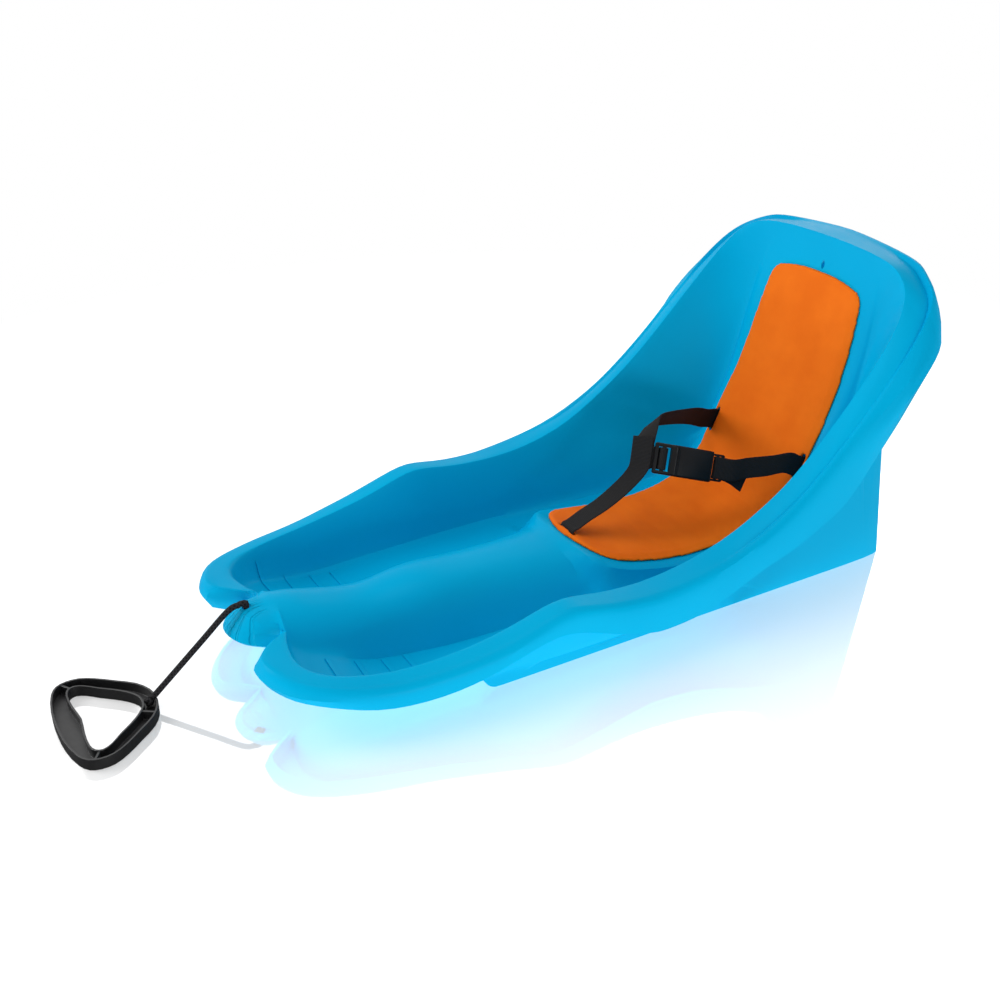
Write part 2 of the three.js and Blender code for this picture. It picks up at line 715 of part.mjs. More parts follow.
// A solid swept through rings of points. A closed one returns to its first ring, an open one is capped.
function sweep(rings, closed = false) {
  const size = rings[0].length;
  const points = rings.flat();
  const triangles = [];
  const count = closed ? rings.length : rings.length - 1;
  for (let i = 0; i < count; i++)
    for (let j = 0; j < size; j++) {
      const a = i * size + j;
      const b = i * size + ((j + 1) % size);
      const c = ((i + 1) % rings.length) * size + j;
      const d = ((i + 1) % rings.length) * size + ((j + 1) % size);
      triangles.push([a, b, d], [a, d, c]);
    }
  if (!closed)
    for (let j = 1; j + 1 < size; j++) {
      const end = points.length - size;
      triangles.push([0, j + 1, j], [end, end + j, end + j + 1]);
    }
  const solid = solidOf(points, triangles);
  if (solid.volume() > 0) return solid;
  return solidOf(points, triangles.map(([a, b, c]) => [a, c, b]));
}

// A box from one corner to the other.
function block(low, high) {
  const size = high.clone().sub(low);
  const geometry = new THREE.BoxGeometry(size.x, size.y, size.z);
  return solidFrom(geometry.translate(low.x + size.x / 2, low.y + size.y / 2, low.z + size.z / 2));
}

const vector = (x, y, z) => new THREE.Vector3(x, y, z);

// Height of the hump and the seat where the pad lies on them.
function restTop(x, y) {
  return roundedMax(humpTop(x, y, floorHeight), seatTop(x, y), humpBlend);
}

// A frame on the moulded surface: its own X along a slot, Y across it and Z out of the surface. The slot runs
// across the sled, or up or down the back rest.
function surfaceFrame(x, y, upward) {
  const step = seatGap;
  const at = vector(x, y, restTop(x, y));
  const dx = (restTop(x + step, y) - restTop(x - step, y)) / (step + step);
  const dy = (restTop(x, y + step) - restTop(x, y - step)) / (step + step);
  const out = vector(-dx, -dy, 1).normalize();
  const side = upward ? vector(0, 1, dy).multiplyScalar(upward).normalize() : vector(1, 0, dx).normalize();
  const across = out.clone().cross(side).normalize();
  side.crossVectors(across, out);
  return new THREE.Matrix4().makeBasis(side, across, out).setPosition(at);
}

const slotFrames = {
  crotch: surfaceFrame(crotchSlotShares[0] * seatHalf, crotchSlotShares[1] * openingLength, 0),
  right: surfaceFrame(-hipSlotShares[0] * seatHalf, hipSlotShares[1] * openingLength, -1),
  left: surfaceFrame(hipSlotShares[0] * seatHalf, hipSlotShares[1] * openingLength, 1),
};

// A cutter with rounded ends for a slot, in the slot's own frame.
function slotCutter(frame) {
  const shape = new THREE.Shape();
  const end = (slotLength - slotWidth) / 2;
  shape.absarc(end, 0, slotWidth / 2, -Math.PI / 2, Math.PI / 2);
  shape.absarc(-end, 0, slotWidth / 2, Math.PI / 2, (3 * Math.PI) / 2);
  const reach = overrun + padThickness;
  const geometry = new THREE.ExtrudeGeometry(shape, { depth: 2 * reach, bevelEnabled: false, curveSegments: 5 });
  return solidFrom(geometry.translate(0, 0, -reach).applyMatrix4(frame));
}

const slotCutters = Object.values(slotFrames).map(slotCutter);

// The plinth: a wall in plan, leaning in by the draft as it rises, swept round the back.
function plinth() {
  const length = plinthRear - plinthFront;
  const half = plinthSideShares.map((share) => [runnerHalf, plinthFront + share * length]);
  for (const [a, b] of plinthCornerShares.slice(1)) half.push([a * runnerHalf, plinthFront + b * length]);
  const [cornerX, cornerY] = half[half.length - 1];
  for (const t of [0.5, 1])
    half.push([cornerX * (1 - t), cornerY + (plinthRear - cornerY) * (1 - (1 - t) ** 2)]);
  const outline = [...half, ...half.slice(0, -1).reverse().map(([x, y]) => [-x, y])];
  const top = backHeight + overrun;
  const rings = outline.map(([x, y], i) => {
    const [ax, ay] = outline[Math.max(0, i - 1)];
    const [bx, by] = outline[Math.min(outline.length - 1, i + 1)];
    const size = Math.hypot(bx - ax, by - ay);
    const inward = [-(by - ay) / size, (bx - ax) / size];
    const at = (away, z) => vector(x + inward[0] * away, y + inward[1] * away, z);
    const lean = draftShare * top;
    return [at(0, 0), at(plinthWall, 0), at(plinthWall + lean, top), at(lean, top)];
  });
  return sweep(rings);
}

// A runner rib: a thin wall with its front curved up.
function runner(outer, rear) {
  const front = runnerFrontShare * openingLength;
  const rise = runnerRiseShare * openingLength;
  const shape = new THREE.Shape();
  shape.moveTo(front, rise);
  shape.quadraticCurveTo(front + rise / 4, 0, front + rise, 0);
  shape.lineTo(rear, 0);
  shape.lineTo(rear, rise + overrun);
  shape.lineTo(front, rise + overrun);
  const geometry = new THREE.ExtrudeGeometry(shape, { depth: runnerWall, bevelEnabled: false, curveSegments: 6 });
  geometry.rotateX(Math.PI / 2).rotateZ(Math.PI / 2);
  return solidFrom(geometry.translate(outer > 0 ? outer - runnerWall : outer, 0, 0));
}

// The low ribs across the foot end of both leg channels.
function footRibs() {
  let ribs = null;
  for (const share of footRibShares)
    for (const side of [-1, 1]) {
      const y = share * openingLength;
      const inner = footRibInnerShare * humpHalf;
      const outer = footRibOuterShare * openingHalf;
      const low = vector(side > 0 ? inner : -outer, y - toeRibWidth / 2, 0);
      const high = vector(side > 0 ? outer : -inner, y + toeRibWidth / 2, noseHeight);
      const rib = block(low, high);
      ribs = ribs ? ribs.add(rib) : rib;
    }
  return ribs.intersect(belowSurface(toeRibDepth)).subtract(belowSurface(-shellWall / 2));
}

// The leaf-shaped hole at the top of the back rest.
function leafCutter() {
  const frame = surfaceFrame(0, leafShares[1] * openingLength, 1);
  const shape = new THREE.Shape();
  shape.moveTo(-leafLength / 2, 0);
  shape.quadraticCurveTo(0, -leafWidth, leafLength / 2, 0);
  shape.quadraticCurveTo(0, leafWidth, -leafLength / 2, 0);
  const geometry = new THREE.ExtrudeGeometry(shape, { depth: 2 * overrun, bevelEnabled: false, curveSegments: 6 });
  return solidFrom(geometry.translate(0, 0, -overrun).applyMatrix4(frame));
}

// The nose hole, with its own frame straight up.
const ropeHoleY = ropeHoleShare * openingLength;
const noseTop = noseHeight * readTable(humpShares, ropeHoleShare, 1);

function ropeHoleCutter() {
  const geometry = new THREE.CylinderGeometry(ropeHole / 2, ropeHole / 2, 2 * overrun, 20);
  return solidFrom(geometry.rotateX(Math.PI / 2).translate(0, ropeHoleY, noseTop));
}

// The shell in one piece.
function shellSolid() {
  const under = belowSurface(-shellWall / 2);
  const rear = innerRunnerRearShare * openingLength;
  let ribs = plinth();
  for (const side of [-1, 1]) {
    ribs = ribs.add(runner(side * runnerHalf, plinthFront + plinthWall));
    ribs = ribs.add(runner(side * innerRunnerHalf, rear));
  }
  let shell = shellSkin().add(ribs.intersect(under)).add(footRibs());
  for (const cutter of [...slotCutters, leafCutter(), ropeHoleCutter()]) shell = shell.subtract(cutter);
  return shell;
}

// The pad: a soft-edged blank over the seat and the back rest, trimmed by the surface it lies on.
function padSolid() {
  const rings = padShares.map(([share, halfShare], i) => {
    const middle = share * openingLength;
    const last = i === 0 || i === padShares.length - 1;
    const frames = padColumnShares.map((across) => {
      const x = across * halfShare * padHalf;
      return surfaceFrame(x, middle - bowAt(x, middle - bowAt(x, middle)), 1);
    });
    const tops = frames.map((frame, k) => {
      const across = padColumnShares[k];
      const edge = Math.abs(across) === 1 || last;
      const crown = edge ? -padEdgeRound : padCrown * (1 - across * across);
      return vector(0, 0, seatGap + padThickness - padCrown + crown).applyMatrix4(frame);
    });
    const feet = frames.map((frame) => vector(0, 0, -padEdgeRound).applyMatrix4(frame));
    return [...tops, ...feet.reverse()];
  });
  let pad = sweep(rings).subtract(belowSurface(seatGap));
  for (const cutter of slotCutters) pad = pad.subtract(cutter);
  return pad;
}

// A flat ribbon along stations, each a place and the direction of the width; a slanted one also has its width.
function ribbon(stations, closed = false) {
  const count = stations.length;
  const rings = stations.map(({ at, across, slanted }, i) => {
    const before = stations[closed ? (i + count - 1) % count : Math.max(0, i - 1)].at;
    const after = stations[closed ? (i + 1) % count : Math.min(count - 1, i + 1)].at;
    const along = after.clone().sub(before).normalize();
    const face = along.clone().cross(across).normalize();
    const wide = slanted ? across.clone() : face.clone().cross(along).normalize();
    const half = (slanted || webWidth) / 2;
    const corner = (a, b) =>
      at.clone().addScaledVector(wide, a * half).addScaledVector(face, (b * webThickness) / 2);
    return [corner(-1, -1), corner(1, -1), corner(1, 1), corner(-1, 1)];
  });
  return sweep(rings, closed);
}

// A route's rows as stations.
function routeStations(rows) {
  return rows.map(([x, y, z, ax, ay, az]) => ({
    at: vector(x * seatHalf, y * openingLength, z * backHeight),
    across: vector(ax, ay, az).normalize(),
  }));
}

// Stations of a smooth curve through the given ones.
function smoothStations(stations, steps) {
  const places = new THREE.CatmullRomCurve3(stations.map((s) => s.at), false, "centripetal");
  const widths = new THREE.CatmullRomCurve3(stations.map((s) => s.across), false, "catmullrom");
  const out = [];
  for (let i = 0; i <= steps; i++) {
    const t = i / steps;
    out.push({ at: places.getPoint(t), across: widths.getPoint(t).normalize() });
  }
  return out;
}

// Stations in a frame: rows of place and width direction in the frame's own axes.
function frameStations(frame, rows) {
  const turn = new THREE.Matrix3().setFromMatrix4(frame);
  return rows.map(([x, y, z, ax, ay, az]) => ({
    at: vector(x, y, z).applyMatrix4(frame),
    across: vector(ax, ay, az).applyMatrix3(turn).normalize(),
  }));
}

// The buckle's frame: X along the belt, Y up its width and Z out of its face.
function buckleFrame() {
  const place = (row) => vector(row[0] * seatHalf, row[1] * openingLength, row[2] * backHeight);
  const start = place(buckleStartShares);
  const along = place(buckleEndShares).sub(start).normalize();
  const level = along.clone().cross(vector(0, 0, 1)).normalize();
  const up = level.clone().cross(along);
  const lean = buckleLean * radians;
  const face = level.clone().multiplyScalar(Math.cos(lean)).addScaledVector(up, Math.sin(lean));
  const wide = face.clone().cross(along);
  return new THREE.Matrix4().makeBasis(along, wide, face).setPosition(start);
}

const buckleMatrix = buckleFrame();


const round = (thickness, length) => Math.hypot(thickness, length) / 2 + seatGap + webThickness / 2;

// Rows of a half turn in a frame's X and Z round a centre, with the width along Y.
function turnRows(x, z, radius, from, to, steps) {
  const rows = [];
  for (let i = 0; i <= steps; i++) {
    const a = (from + ((to - from) * i) / steps) * radians;
    rows.push([x + Math.cos(a) * radius, 0, z + Math.sin(a) * radius, 0, 1, 0]);
  }
  return rows;
}

// A belt's end in its slot: down through the shell, round the anchor's bar and up again, in the slot's frame.
const anchorDepth = shellWall + anchorDrop + anchorThickness / 2;
const anchorBarPlace = round(anchorThickness, anchorBar);

function slotStations(frame, side = 1) {
  const rows = [
    [0, 0, padThickness + 1.5 * webThickness, side, 0, 0],
    [0, 0, 0, side, 0, 0],
    [0, 0, -anchorDepth, side, 0, 0],
  ];
  for (const turn of [36, 72, 108, 144, 180]) {
    const a = turn * radians;
    const y = anchorBarPlace * (1 - Math.cos(a));
    rows.push([0, y, -anchorDepth - anchorBarPlace * Math.sin(a), side, 0, 0]);
  }
  rows.push([0, 2 * anchorBarPlace, -anchorDepth + anchorThickness / 2, side, 0, 0]);
  return frameStations(frame, rows).reverse();
}

// The flat plate behind a slot: a frame with a bar across its middle.
function anchorSolid() {
  const half = anchorLength / 2;
  const low = -anchorDepth - anchorThickness / 2;
  const high = -anchorDepth + anchorThickness / 2;
  const wide = anchorWidth / 2;
  const shape = new THREE.Shape();
  const corner = anchorRail;
  shape.moveTo(-half + corner, -wide);
  shape.lineTo(half - corner, -wide);
  shape.absarc(half - corner, -wide + corner, corner, -Math.PI / 2, 0);
  shape.absarc(half - corner, wide - corner, corner, 0, Math.PI / 2);
  shape.absarc(-half + corner, wide - corner, corner, Math.PI / 2, Math.PI);
  shape.absarc(-half + corner, -wide + corner, corner, Math.PI, (3 * Math.PI) / 2);
  const geometry = new THREE.ExtrudeGeometry(shape, {
    depth: anchorThickness,
    bevelEnabled: false,
    curveSegments: 4,
  });
  let plate = solidFrom(geometry.translate(0, anchorBarPlace, low));
  const inner = half - anchorRail;
  for (const side of [-1, 1]) {
    const near = anchorBarPlace + (side * anchorBar) / 2;
    const far = anchorBarPlace + side * (wide - anchorRail);
    const from = vector(-inner, Math.min(near, far), low - overrun);
    plate = plate.subtract(block(from, vector(inner, Math.max(near, far), high + overrun)));
  }
  return plate;
}

// The seam where the crotch strap's end is sewn to the right belt: X along the belt, Y up and Z out of its face.
function seamFrame() {
  const turn = new THREE.Matrix4().makeRotationY(-seamTurn * radians);
  const shift = new THREE.Matrix4().makeTranslation(-seamReach, 0, -seamBack);
  return buckleMatrix.clone().multiply(turn).multiply(shift);
}

const seam = seamFrame();
const layer = webThickness + seatGap;

function crotchStrap() {
  const half = webWidth / 2;
  const end = frameStations(seam, [
    [0, -half, 0, 1, 0, 0],
    [0, 0, 0, 1, 0, 0],
    [0, seamEnd, 0, 1, 0, 0],
  ]);
  const route = [...routeStations(crotchRouteShares), ...end.slice(0, 2)];
  return ribbon([...slotStations(slotFrames.crotch), ...smoothStations(route, 22), end[2]]);
}

// Where the right belt turns off to the buckle: half a turn round a slanted line, from the back layer to the next.
function foldStations() {
  const half = webWidth / 2;
  const radius = layer / 2;
  const rows = [];
  for (const turn of foldTurns) {
    const a = turn * radians;
    const out = -Math.SQRT1_2 * radius * Math.sin(a);
    rows.push([out - foldShift, out, -1.5 * layer - radius * Math.cos(a), 1, -1, 0]);
  }
  const slant = frameStations(seam, rows);
  for (const station of slant) station.slanted = 2 * Math.SQRT2 * half;
  return slant;
}

// The right belt: from its slot down behind the crotch strap's end, folded there and on round the housing's bar.
function rightStrap() {
  const half = webWidth / 2;
  const bar = barLength + barGap + barLength / 2;
  const radius = round(barThickness, barLength);
  const above = frameStations(seam, [
    [half / 24, 2.5 * half, -6.3 * layer, 0.85, 0.45, 0.1],
    [0, 1.75 * half, -3.4 * layer, 0.97, 0.2, 0.05],
    [-foldShift, half + webThickness, -2 * layer, 1, 0, 0],
  ]);
  const wrap = frameStations(buckleMatrix, [
    [barLength, 0, -radius, 0, -1, 0],
    ...turnRows(bar, 0, radius, -90, 90, 8).map(([x, y, z]) => [x, y, z, 0, -1, 0]),
    [bar - radius * 0.7, 0, radius * 0.9, 0, -1, 0],
    [bar - radius * 1.16, 0, radius * 0.4, 0, -1, 0],
    [bar - radius * 1.2, 0, -radius * 0.36, 0, -1, 0],
  ]);
  const after = frameStations(seam, [[half + webThickness - foldShift, 0, -layer, 0, -1, 0]]);
  const route = smoothStations([...routeStations(farRouteShares), ...above], 34);
  return ribbon([...slotStations(slotFrames.right, -1), ...route, ...foldStations(), ...after, ...wrap]);
}

// The left belt: from its slot over the ladder lock, round its first bar and back as the loose tail.
const shoulderEnd = buckleLength + slideGap + shoulderLength;
const ladderBarPlace = shoulderEnd + ladderGap + ladderBar / 2;

function leftStrap() {
  const radius = round(ladderThickness, ladderBar);
  const end = ladderBarPlace + tailLength;
  const over = frameStations(buckleMatrix, [
    [end - tailLength / 2, 0, radius * 1.1, 0, 1, 0],
    [ladderBarPlace + tailLength / 5, 0, radius, 0, 1, 0],
  ]);
  const under = frameStations(buckleMatrix, [
    [ladderBarPlace + tailLength / 6, 0, -radius, 0, 1, 0],
    [ladderBarPlace + tailLength / 2, -tailLength * 0.06, -radius * 1.2, 0.12, 1, 0],
    [ladderBarPlace + tailLength * 0.8, -tailLength * 0.17, -radius * 1.7, 0.24, 1, 0],
    [end, -tailLength * 0.26, -radius * 2.2, 0.3, 1, 0],
  ]);
  const stations = [
    ...slotStations(slotFrames.left),
    ...smoothStations([...routeStations(nearRouteShares).reverse(), ...over], 20),
    ...frameStations(buckleMatrix, turnRows(ladderBarPlace, 0, radius, 90, 270, 8)),
    ...smoothStations(under, 8),
  ];
  return ribbon(stations);
}

// A rounded rectangle as a ring of points in the plane across the belt.
function buckleSection(x, halfWidth, halfHeight, corner) {
  const ring = [];
  for (const [sy, sz, from] of [
    [1, 1, 0],
    [-1, 1, 90],
    [-1, -1, 180],
    [1, -1, 270],
  ])
    for (const turn of [0, 30, 60, 90]) {
      const a = (from + turn) * radians;
      const y = sy * (halfWidth - corner) + Math.cos(a) * corner;
      ring.push(vector(x, y, sz * (halfHeight - corner) + Math.sin(a) * corner));
    }
  return ring;
}

function housingSolid() {
  const half = buckleWidth / 2;
  const high = buckleThickness / 2;
  const flat = barThickness / 2;
  const rise = (x, h, w = half) => buckleSection(x, w, h, Math.min(h, buckleRound) * 0.96);
  let body = sweep([
    rise(0, flat * 0.8, half * 0.95),
    rise(barLength / 3, flat),
    rise(barZone - barRail / 2, flat),
    rise(barZone + barRail / 3, high * 0.82),
    rise(barZone + barRail, high),
    rise(buckleLength - buckleRound / 2, high),
    rise(buckleLength, high * 0.93, half * 0.975),
  ]);
  const rail = half - barRail;
  const cut = (x0, x1, y0, y1, z0, z1) => {
    body = body.subtract(block(vector(x0, y0, z0), vector(x1, y1, z1)));
  };
  cut(barLength, barLength + barGap, -rail, rail, -overrun, overrun);
  cut(2 * barLength + barGap, barZone - barRail / 4, -rail, rail, -overrun, overrun);
  const inside = half - buckleSideWall;
  const deep = high - buckleWall;
  const window = barZone + barRail + buckleWall;
  const ledge = windowInset + windowLength + catchLength;
  cut(window, windowInset + windowLength + buckleSideWall, -inside, inside, -deep, deep);
  cut(window, buckleLength + overrun, -inside + catchDepth, inside - catchDepth, -deep, deep);
  cut(ledge + buckleSideWall, buckleLength + overrun, -inside, inside, -deep, deep);
  const tall = windowHeight / 2;
  const from = windowInset + buckleSideWall + barLength;
  cut(from, windowInset + windowLength + buckleSideWall, -half - overrun, half + overrun, -tall, tall);
  for (const place of [0.5, 1.7]) {
    const x = barZone + barRail + place * gripRidge;
    const ridge = new THREE.CylinderGeometry(gripRidge / 2, gripRidge / 2, 2 * rail + barRail, 10);
    body = body.add(solidFrom(ridge.translate(x, 0, high - gripRidge / 2 + gripRidgeRise)));
  }
  return body;
}

// Where the prongs are hinged, and where their catch ends.
const prongRoot = buckleLength - plugRoot;
const catchEnd = windowInset + windowLength + buckleSideWall - slideGap;

function plugSolid() {
  const half = buckleWidth / 2;
  const inside = half - buckleSideWall;
  const deep = buckleThickness / 2 - buckleWall - slideGap;
  const start = buckleLength + slideGap;
  const section = (x, w, h, r) => buckleSection(x, w, h, r);
  let body = sweep([
    section(start, half * 0.97, buckleThickness * 0.46, buckleRound * 0.8),
    section(start + shoulderLength * 0.2, half, buckleThickness / 2, buckleRound),
    section(start + shoulderLength * 0.6, half * 0.985, buckleThickness * 0.44, buckleRound),
    section(shoulderEnd, ladderHalf, ladderThickness / 2, ladderThickness * 0.4),
  ]);
  body = body.add(
    block(vector(prongRoot, -inside + slideGap, -deep), vector(start + shoulderLength / 2, inside - slideGap, deep)),
  );
  const tip = buckleLength - tongueReach;
  body = body.add(
    sweep([
      section(tip, tongueWidth * 0.3, tongueThickness * 0.3, tongueThickness * 0.2),
      section(tip + tongueThickness / 2, tongueWidth / 2, tongueThickness / 2, tongueThickness * 0.3),
      section(start, tongueWidth / 2, tongueThickness / 2, tongueThickness * 0.3),
    ]),
  );
  const last = ladderBarPlace + ladderBar + ladderGap;
  let ladder = sweep([
    section(shoulderEnd - ladderBar / 2, ladderHalf, ladderThickness / 2, ladderThickness * 0.4),
    section(last, ladderHalf, ladderThickness / 2, ladderThickness * 0.4),
    section(last + ladderBar / 2, ladderHalf * 0.94, ladderThickness * 0.42, ladderThickness * 0.36),
  ]);
  const rail = ladderHalf - ladderRail;
  for (const x of [shoulderEnd, ladderBarPlace + ladderBar / 2]) {
    const gap = block(vector(x, -rail, -overrun), vector(x + ladderGap, rail, overrun));
    ladder = ladder.subtract(gap);
  }
  return body.add(ladder);
}

// One spring prong in plan, hinged at its root: a slim arm and a ramped head that ends in the catch.
function prongSolid(side) {
  const root = prongRoot - slideGap - prongWidth / 2;
  const outside = buckleWidth / 2 - buckleSideWall - slideGap;
  const arm = prongSpread + prongWidth / 2;
  const shape = new THREE.Shape();
  shape.absarc(root, prongSpread, prongWidth / 2, -Math.PI / 2, Math.PI / 2);
  shape.lineTo(catchEnd, arm);
  shape.lineTo(catchEnd, outside);
  shape.lineTo(catchEnd - prongHead / 3, outside);
  shape.quadraticCurveTo(prongTip, outside - catchDepth / 2, prongTip - prongHead, arm - prongWidth / 3);
  shape.quadraticCurveTo(prongTip - prongHead, prongSpread - prongWidth / 2, prongTip, prongSpread - prongWidth / 2);
  const geometry = new THREE.ExtrudeGeometry(shape, {
    depth: prongThickness,
    bevelEnabled: false,
    curveSegments: 8,
  });
  geometry.translate(0, 0, -prongThickness / 2);
  if (side < 0) geometry.rotateX(Math.PI);
  return solidFrom(geometry);
}

// The grip: a channel swept round its outline, with thin ribs across it and a notch for the rope.
const gripFront = gripFrontShare * openingLength;

function gripSolid() {
  const half = gripShares.map(([a, b, c, d]) => [a, b, c, d]);
  const full = [...half, ...half.slice(1, -1).reverse().map(([a, b, c, d]) => [-a, b, -c, d])];
  const scale = (a, b) => vector(a * handleHalf, gripFront - b * handleLength, 0);
  const outer = new THREE.CatmullRomCurve3(full.map((row) => scale(row[0], row[1])), true, "centripetal");
  const inner = new THREE.CatmullRomCurve3(full.map((row) => scale(row[2], row[3])), true, "centripetal");
  const pair = (place) => {
    const t = (((place / full.length) % 1) + 1) % 1;
    return [outer.getPoint(t), inner.getPoint(t)];
  };
  const rings = [];
  for (let i = 0; i < full.length * 2; i++) {
    const [o, n] = pair(i / 2);
    const across = n.clone().sub(o);
    const width = across.length();
    across.normalize();
    const at = (away, z) => o.clone().addScaledVector(across, away).setZ(z);
    rings.push([
      at(0, 0),
      at(width, 0),
      at(width, handleHeight),
      at(width - handleWall, handleHeight),
      at(width - handleWall, handleFloor),
      at(handleWall, handleFloor),
      at(handleWall, handleHeight),
      at(0, handleHeight),
    ]);
  }
  let grip = sweep(rings, true);
  const rib = (place) => {
    const [o, n] = pair(place);
    const along = n.clone().sub(o).normalize();
    const side = vector(-along.y, along.x, 0).multiplyScalar(handleRib / 2);
    const top = handleHeight - handleWall / 2;
    const ring = (at, inward) => {
      const base = at.clone().addScaledVector(along, (inward * handleWall) / 2);
      return [
        base.clone().add(side),
        base.clone().sub(side),
        base.clone().sub(side).setZ(top),
        base.clone().add(side).setZ(top),
      ];
    };
    return sweep([ring(o, 1), ring(n, -1)]);
  };
  for (const place of [gripRibShares[0], gripRibShares[1], full.length - gripRibShares[1]]) grip = grip.add(rib(place));
  const notch = block(
    vector(-ropeNotch / 2, gripFront - handleWall * 2, handleHeight - ropeNotch / 2),
    vector(ropeNotch / 2, gripFront + overrun, handleHeight + overrun),
  );
  return grip.subtract(notch);
}

// A knot: three turns of the rope round each other.
function knotSolid(radius) {
  const tube = radius * 0.4;
  let knot = solidFrom(new THREE.SphereGeometry(radius * 0.72, 12, 8));
  for (let i = 0; i < 3; i++) {
    const turn = new THREE.TorusGeometry(radius - tube, tube, 8, 18);
    turn.rotateX(Math.PI / 2.6).rotateZ((i * 2 * Math.PI) / 3);
    knot = knot.add(solidFrom(turn));
  }
  return knot;
}

const noseKnotZ = noseTop - shellWall - seatGap - noseKnotRadius;
const neckTop = noseTop + ropeDiameter / 2 + 4 * seatGap;

function noseKnot() {
  const knot = knotSolid(noseKnotRadius).translate([0, 0, noseKnotZ]);
  const neck = new THREE.CylinderGeometry(ropeDiameter / 2, ropeDiameter / 2, neckTop - noseKnotZ, 12);
  const stem = solidFrom(neck.rotateX(Math.PI / 2).translate(0, 0, (neckTop + noseKnotZ) / 2));
  const cap = new THREE.SphereGeometry(ropeDiameter / 2, 12, 8).rotateX(Math.PI / 2).translate(0, 0, neckTop);
  return knot.add(stem).add(solidFrom(cap)).translate([0, ropeHoleY, 0]);
}

const gripKnotY = gripFront - handleWall - seatGap - knotRadius;
const gripKnotZ = handleFloor + seatGap + knotRadius;

// The rope, from the nose's edge straight down to the grip.
function ropeSolid() {
  const start = vector(0, ropeHoleY - ropeDiameter - seatGap, neckTop);
  const knot = vector(0, gripKnotY, gripKnotZ);
  const bend = vector(0, start.y - 2 * ropeTurn, start.z - 0.7 * ropeTurn);
  const slope = bend.clone().sub(knot).normalize();
  const end = knot.clone().addScaledVector(slope, knotRadius + seatGap + ropeDiameter / 2);
  const route = new THREE.CatmullRomCurve3(
    [start, bend.clone().lerp(start, 0.5).setZ(start.z - seatGap * 3), bend, bend.clone().lerp(end, 0.33), bend.clone().lerp(end, 0.67), end],
    false,
    "centripetal",
  );
  const shape = new THREE.Shape();
  shape.absarc(0, 0, ropeDiameter / 2, 0, 2 * Math.PI);
  const tube = new THREE.ExtrudeGeometry(shape, {
    steps: ropeSteps,
    extrudePath: route,
    bevelEnabled: false,
    curveSegments: 5,
  });
  let rope = solidFrom(tube);
  for (const tip of [start, end]) {
    const ball = new THREE.SphereGeometry(ropeDiameter / 2, 12, 8).translate(tip.x, tip.y, tip.z);
    rope = rope.add(solidFrom(ball));
  }
  return rope;
}

const group = new THREE.Group();

function addMesh(name, geometry, colour, roughness, parent = group) {
  const material = new THREE.MeshStandardMaterial({ color: colour, roughness, metalness: 0 });
  const mesh = new THREE.Mesh(geometry, material);
  mesh.name = name;
  parent.add(mesh);
  return mesh;
}

addMesh("sled_shell", geometryOf(shellSolid()), 0x00a8dc, 0.35);
addMesh("seat_pad", geometryOf(padSolid()), 0xf0781e, 0.9);
addMesh("crotch_strap", geometryOf(crotchStrap()), 0x17171a, 0.9);
addMesh("lap_strap_right", geometryOf(rightStrap()), 0x17171a, 0.9);
addMesh("lap_strap_left", geometryOf(leftStrap()), 0x17171a, 0.9);

for (const [name, frame] of Object.entries(slotFrames)) {
  const plate = addMesh(`anchor_${name}`, geometryOf(anchorSolid()), 0x202226, 0.5);
  plate.applyMatrix4(frame);
}

const buckle = new THREE.Group();
buckle.applyMatrix4(buckleMatrix);
group.add(buckle);
addMesh("buckle_housing", geometryOf(housingSolid()), 0x1c1d20, 0.5, buckle);
addMesh("buckle_plug", geometryOf(plugSolid()), 0x1c1d20, 0.5, buckle);
addMesh("prong_upper", geometryOf(prongSolid(1)), 0x1c1d20, 0.5, buckle);
addMesh("prong_lower", geometryOf(prongSolid(-1)), 0x1c1d20, 0.5, buckle);

addMesh("nose_knot", geometryOf(noseKnot()), 0x1a1a1d, 0.95);
addMesh("pull_rope", geometryOf(ropeSolid()), 0x1a1a1d, 0.95);
const gripKnot = addMesh("handle_knot", geometryOf(knotSolid(knotRadius)), 0x1a1a1d, 0.95);
gripKnot.position.set(0, gripKnotY, gripKnotZ);
addMesh("pull_handle", geometryOf(gripSolid()), 0x1c1d20, 0.5);

export default group;
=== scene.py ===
"""A baby pull sled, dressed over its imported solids: shell, foam pad, webbing, buckle, rope and grip."""

import math

import bmesh
import bpy
import numpy as np
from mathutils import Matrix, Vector


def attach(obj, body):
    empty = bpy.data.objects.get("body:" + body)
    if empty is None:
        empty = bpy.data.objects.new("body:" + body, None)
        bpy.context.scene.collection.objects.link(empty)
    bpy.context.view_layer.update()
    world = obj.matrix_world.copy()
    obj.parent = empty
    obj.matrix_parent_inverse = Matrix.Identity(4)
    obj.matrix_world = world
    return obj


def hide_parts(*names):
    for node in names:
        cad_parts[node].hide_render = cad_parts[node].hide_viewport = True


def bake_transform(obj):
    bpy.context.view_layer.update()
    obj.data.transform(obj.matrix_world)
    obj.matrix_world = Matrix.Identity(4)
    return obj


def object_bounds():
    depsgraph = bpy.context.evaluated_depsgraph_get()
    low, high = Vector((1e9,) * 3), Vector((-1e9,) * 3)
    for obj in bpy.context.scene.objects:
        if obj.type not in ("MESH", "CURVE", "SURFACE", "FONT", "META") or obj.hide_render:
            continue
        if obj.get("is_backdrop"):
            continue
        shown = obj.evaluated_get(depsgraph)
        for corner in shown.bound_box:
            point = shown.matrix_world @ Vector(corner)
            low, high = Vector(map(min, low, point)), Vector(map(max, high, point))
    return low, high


MM = 0.001
WHITE = (1, 1, 1, 1)

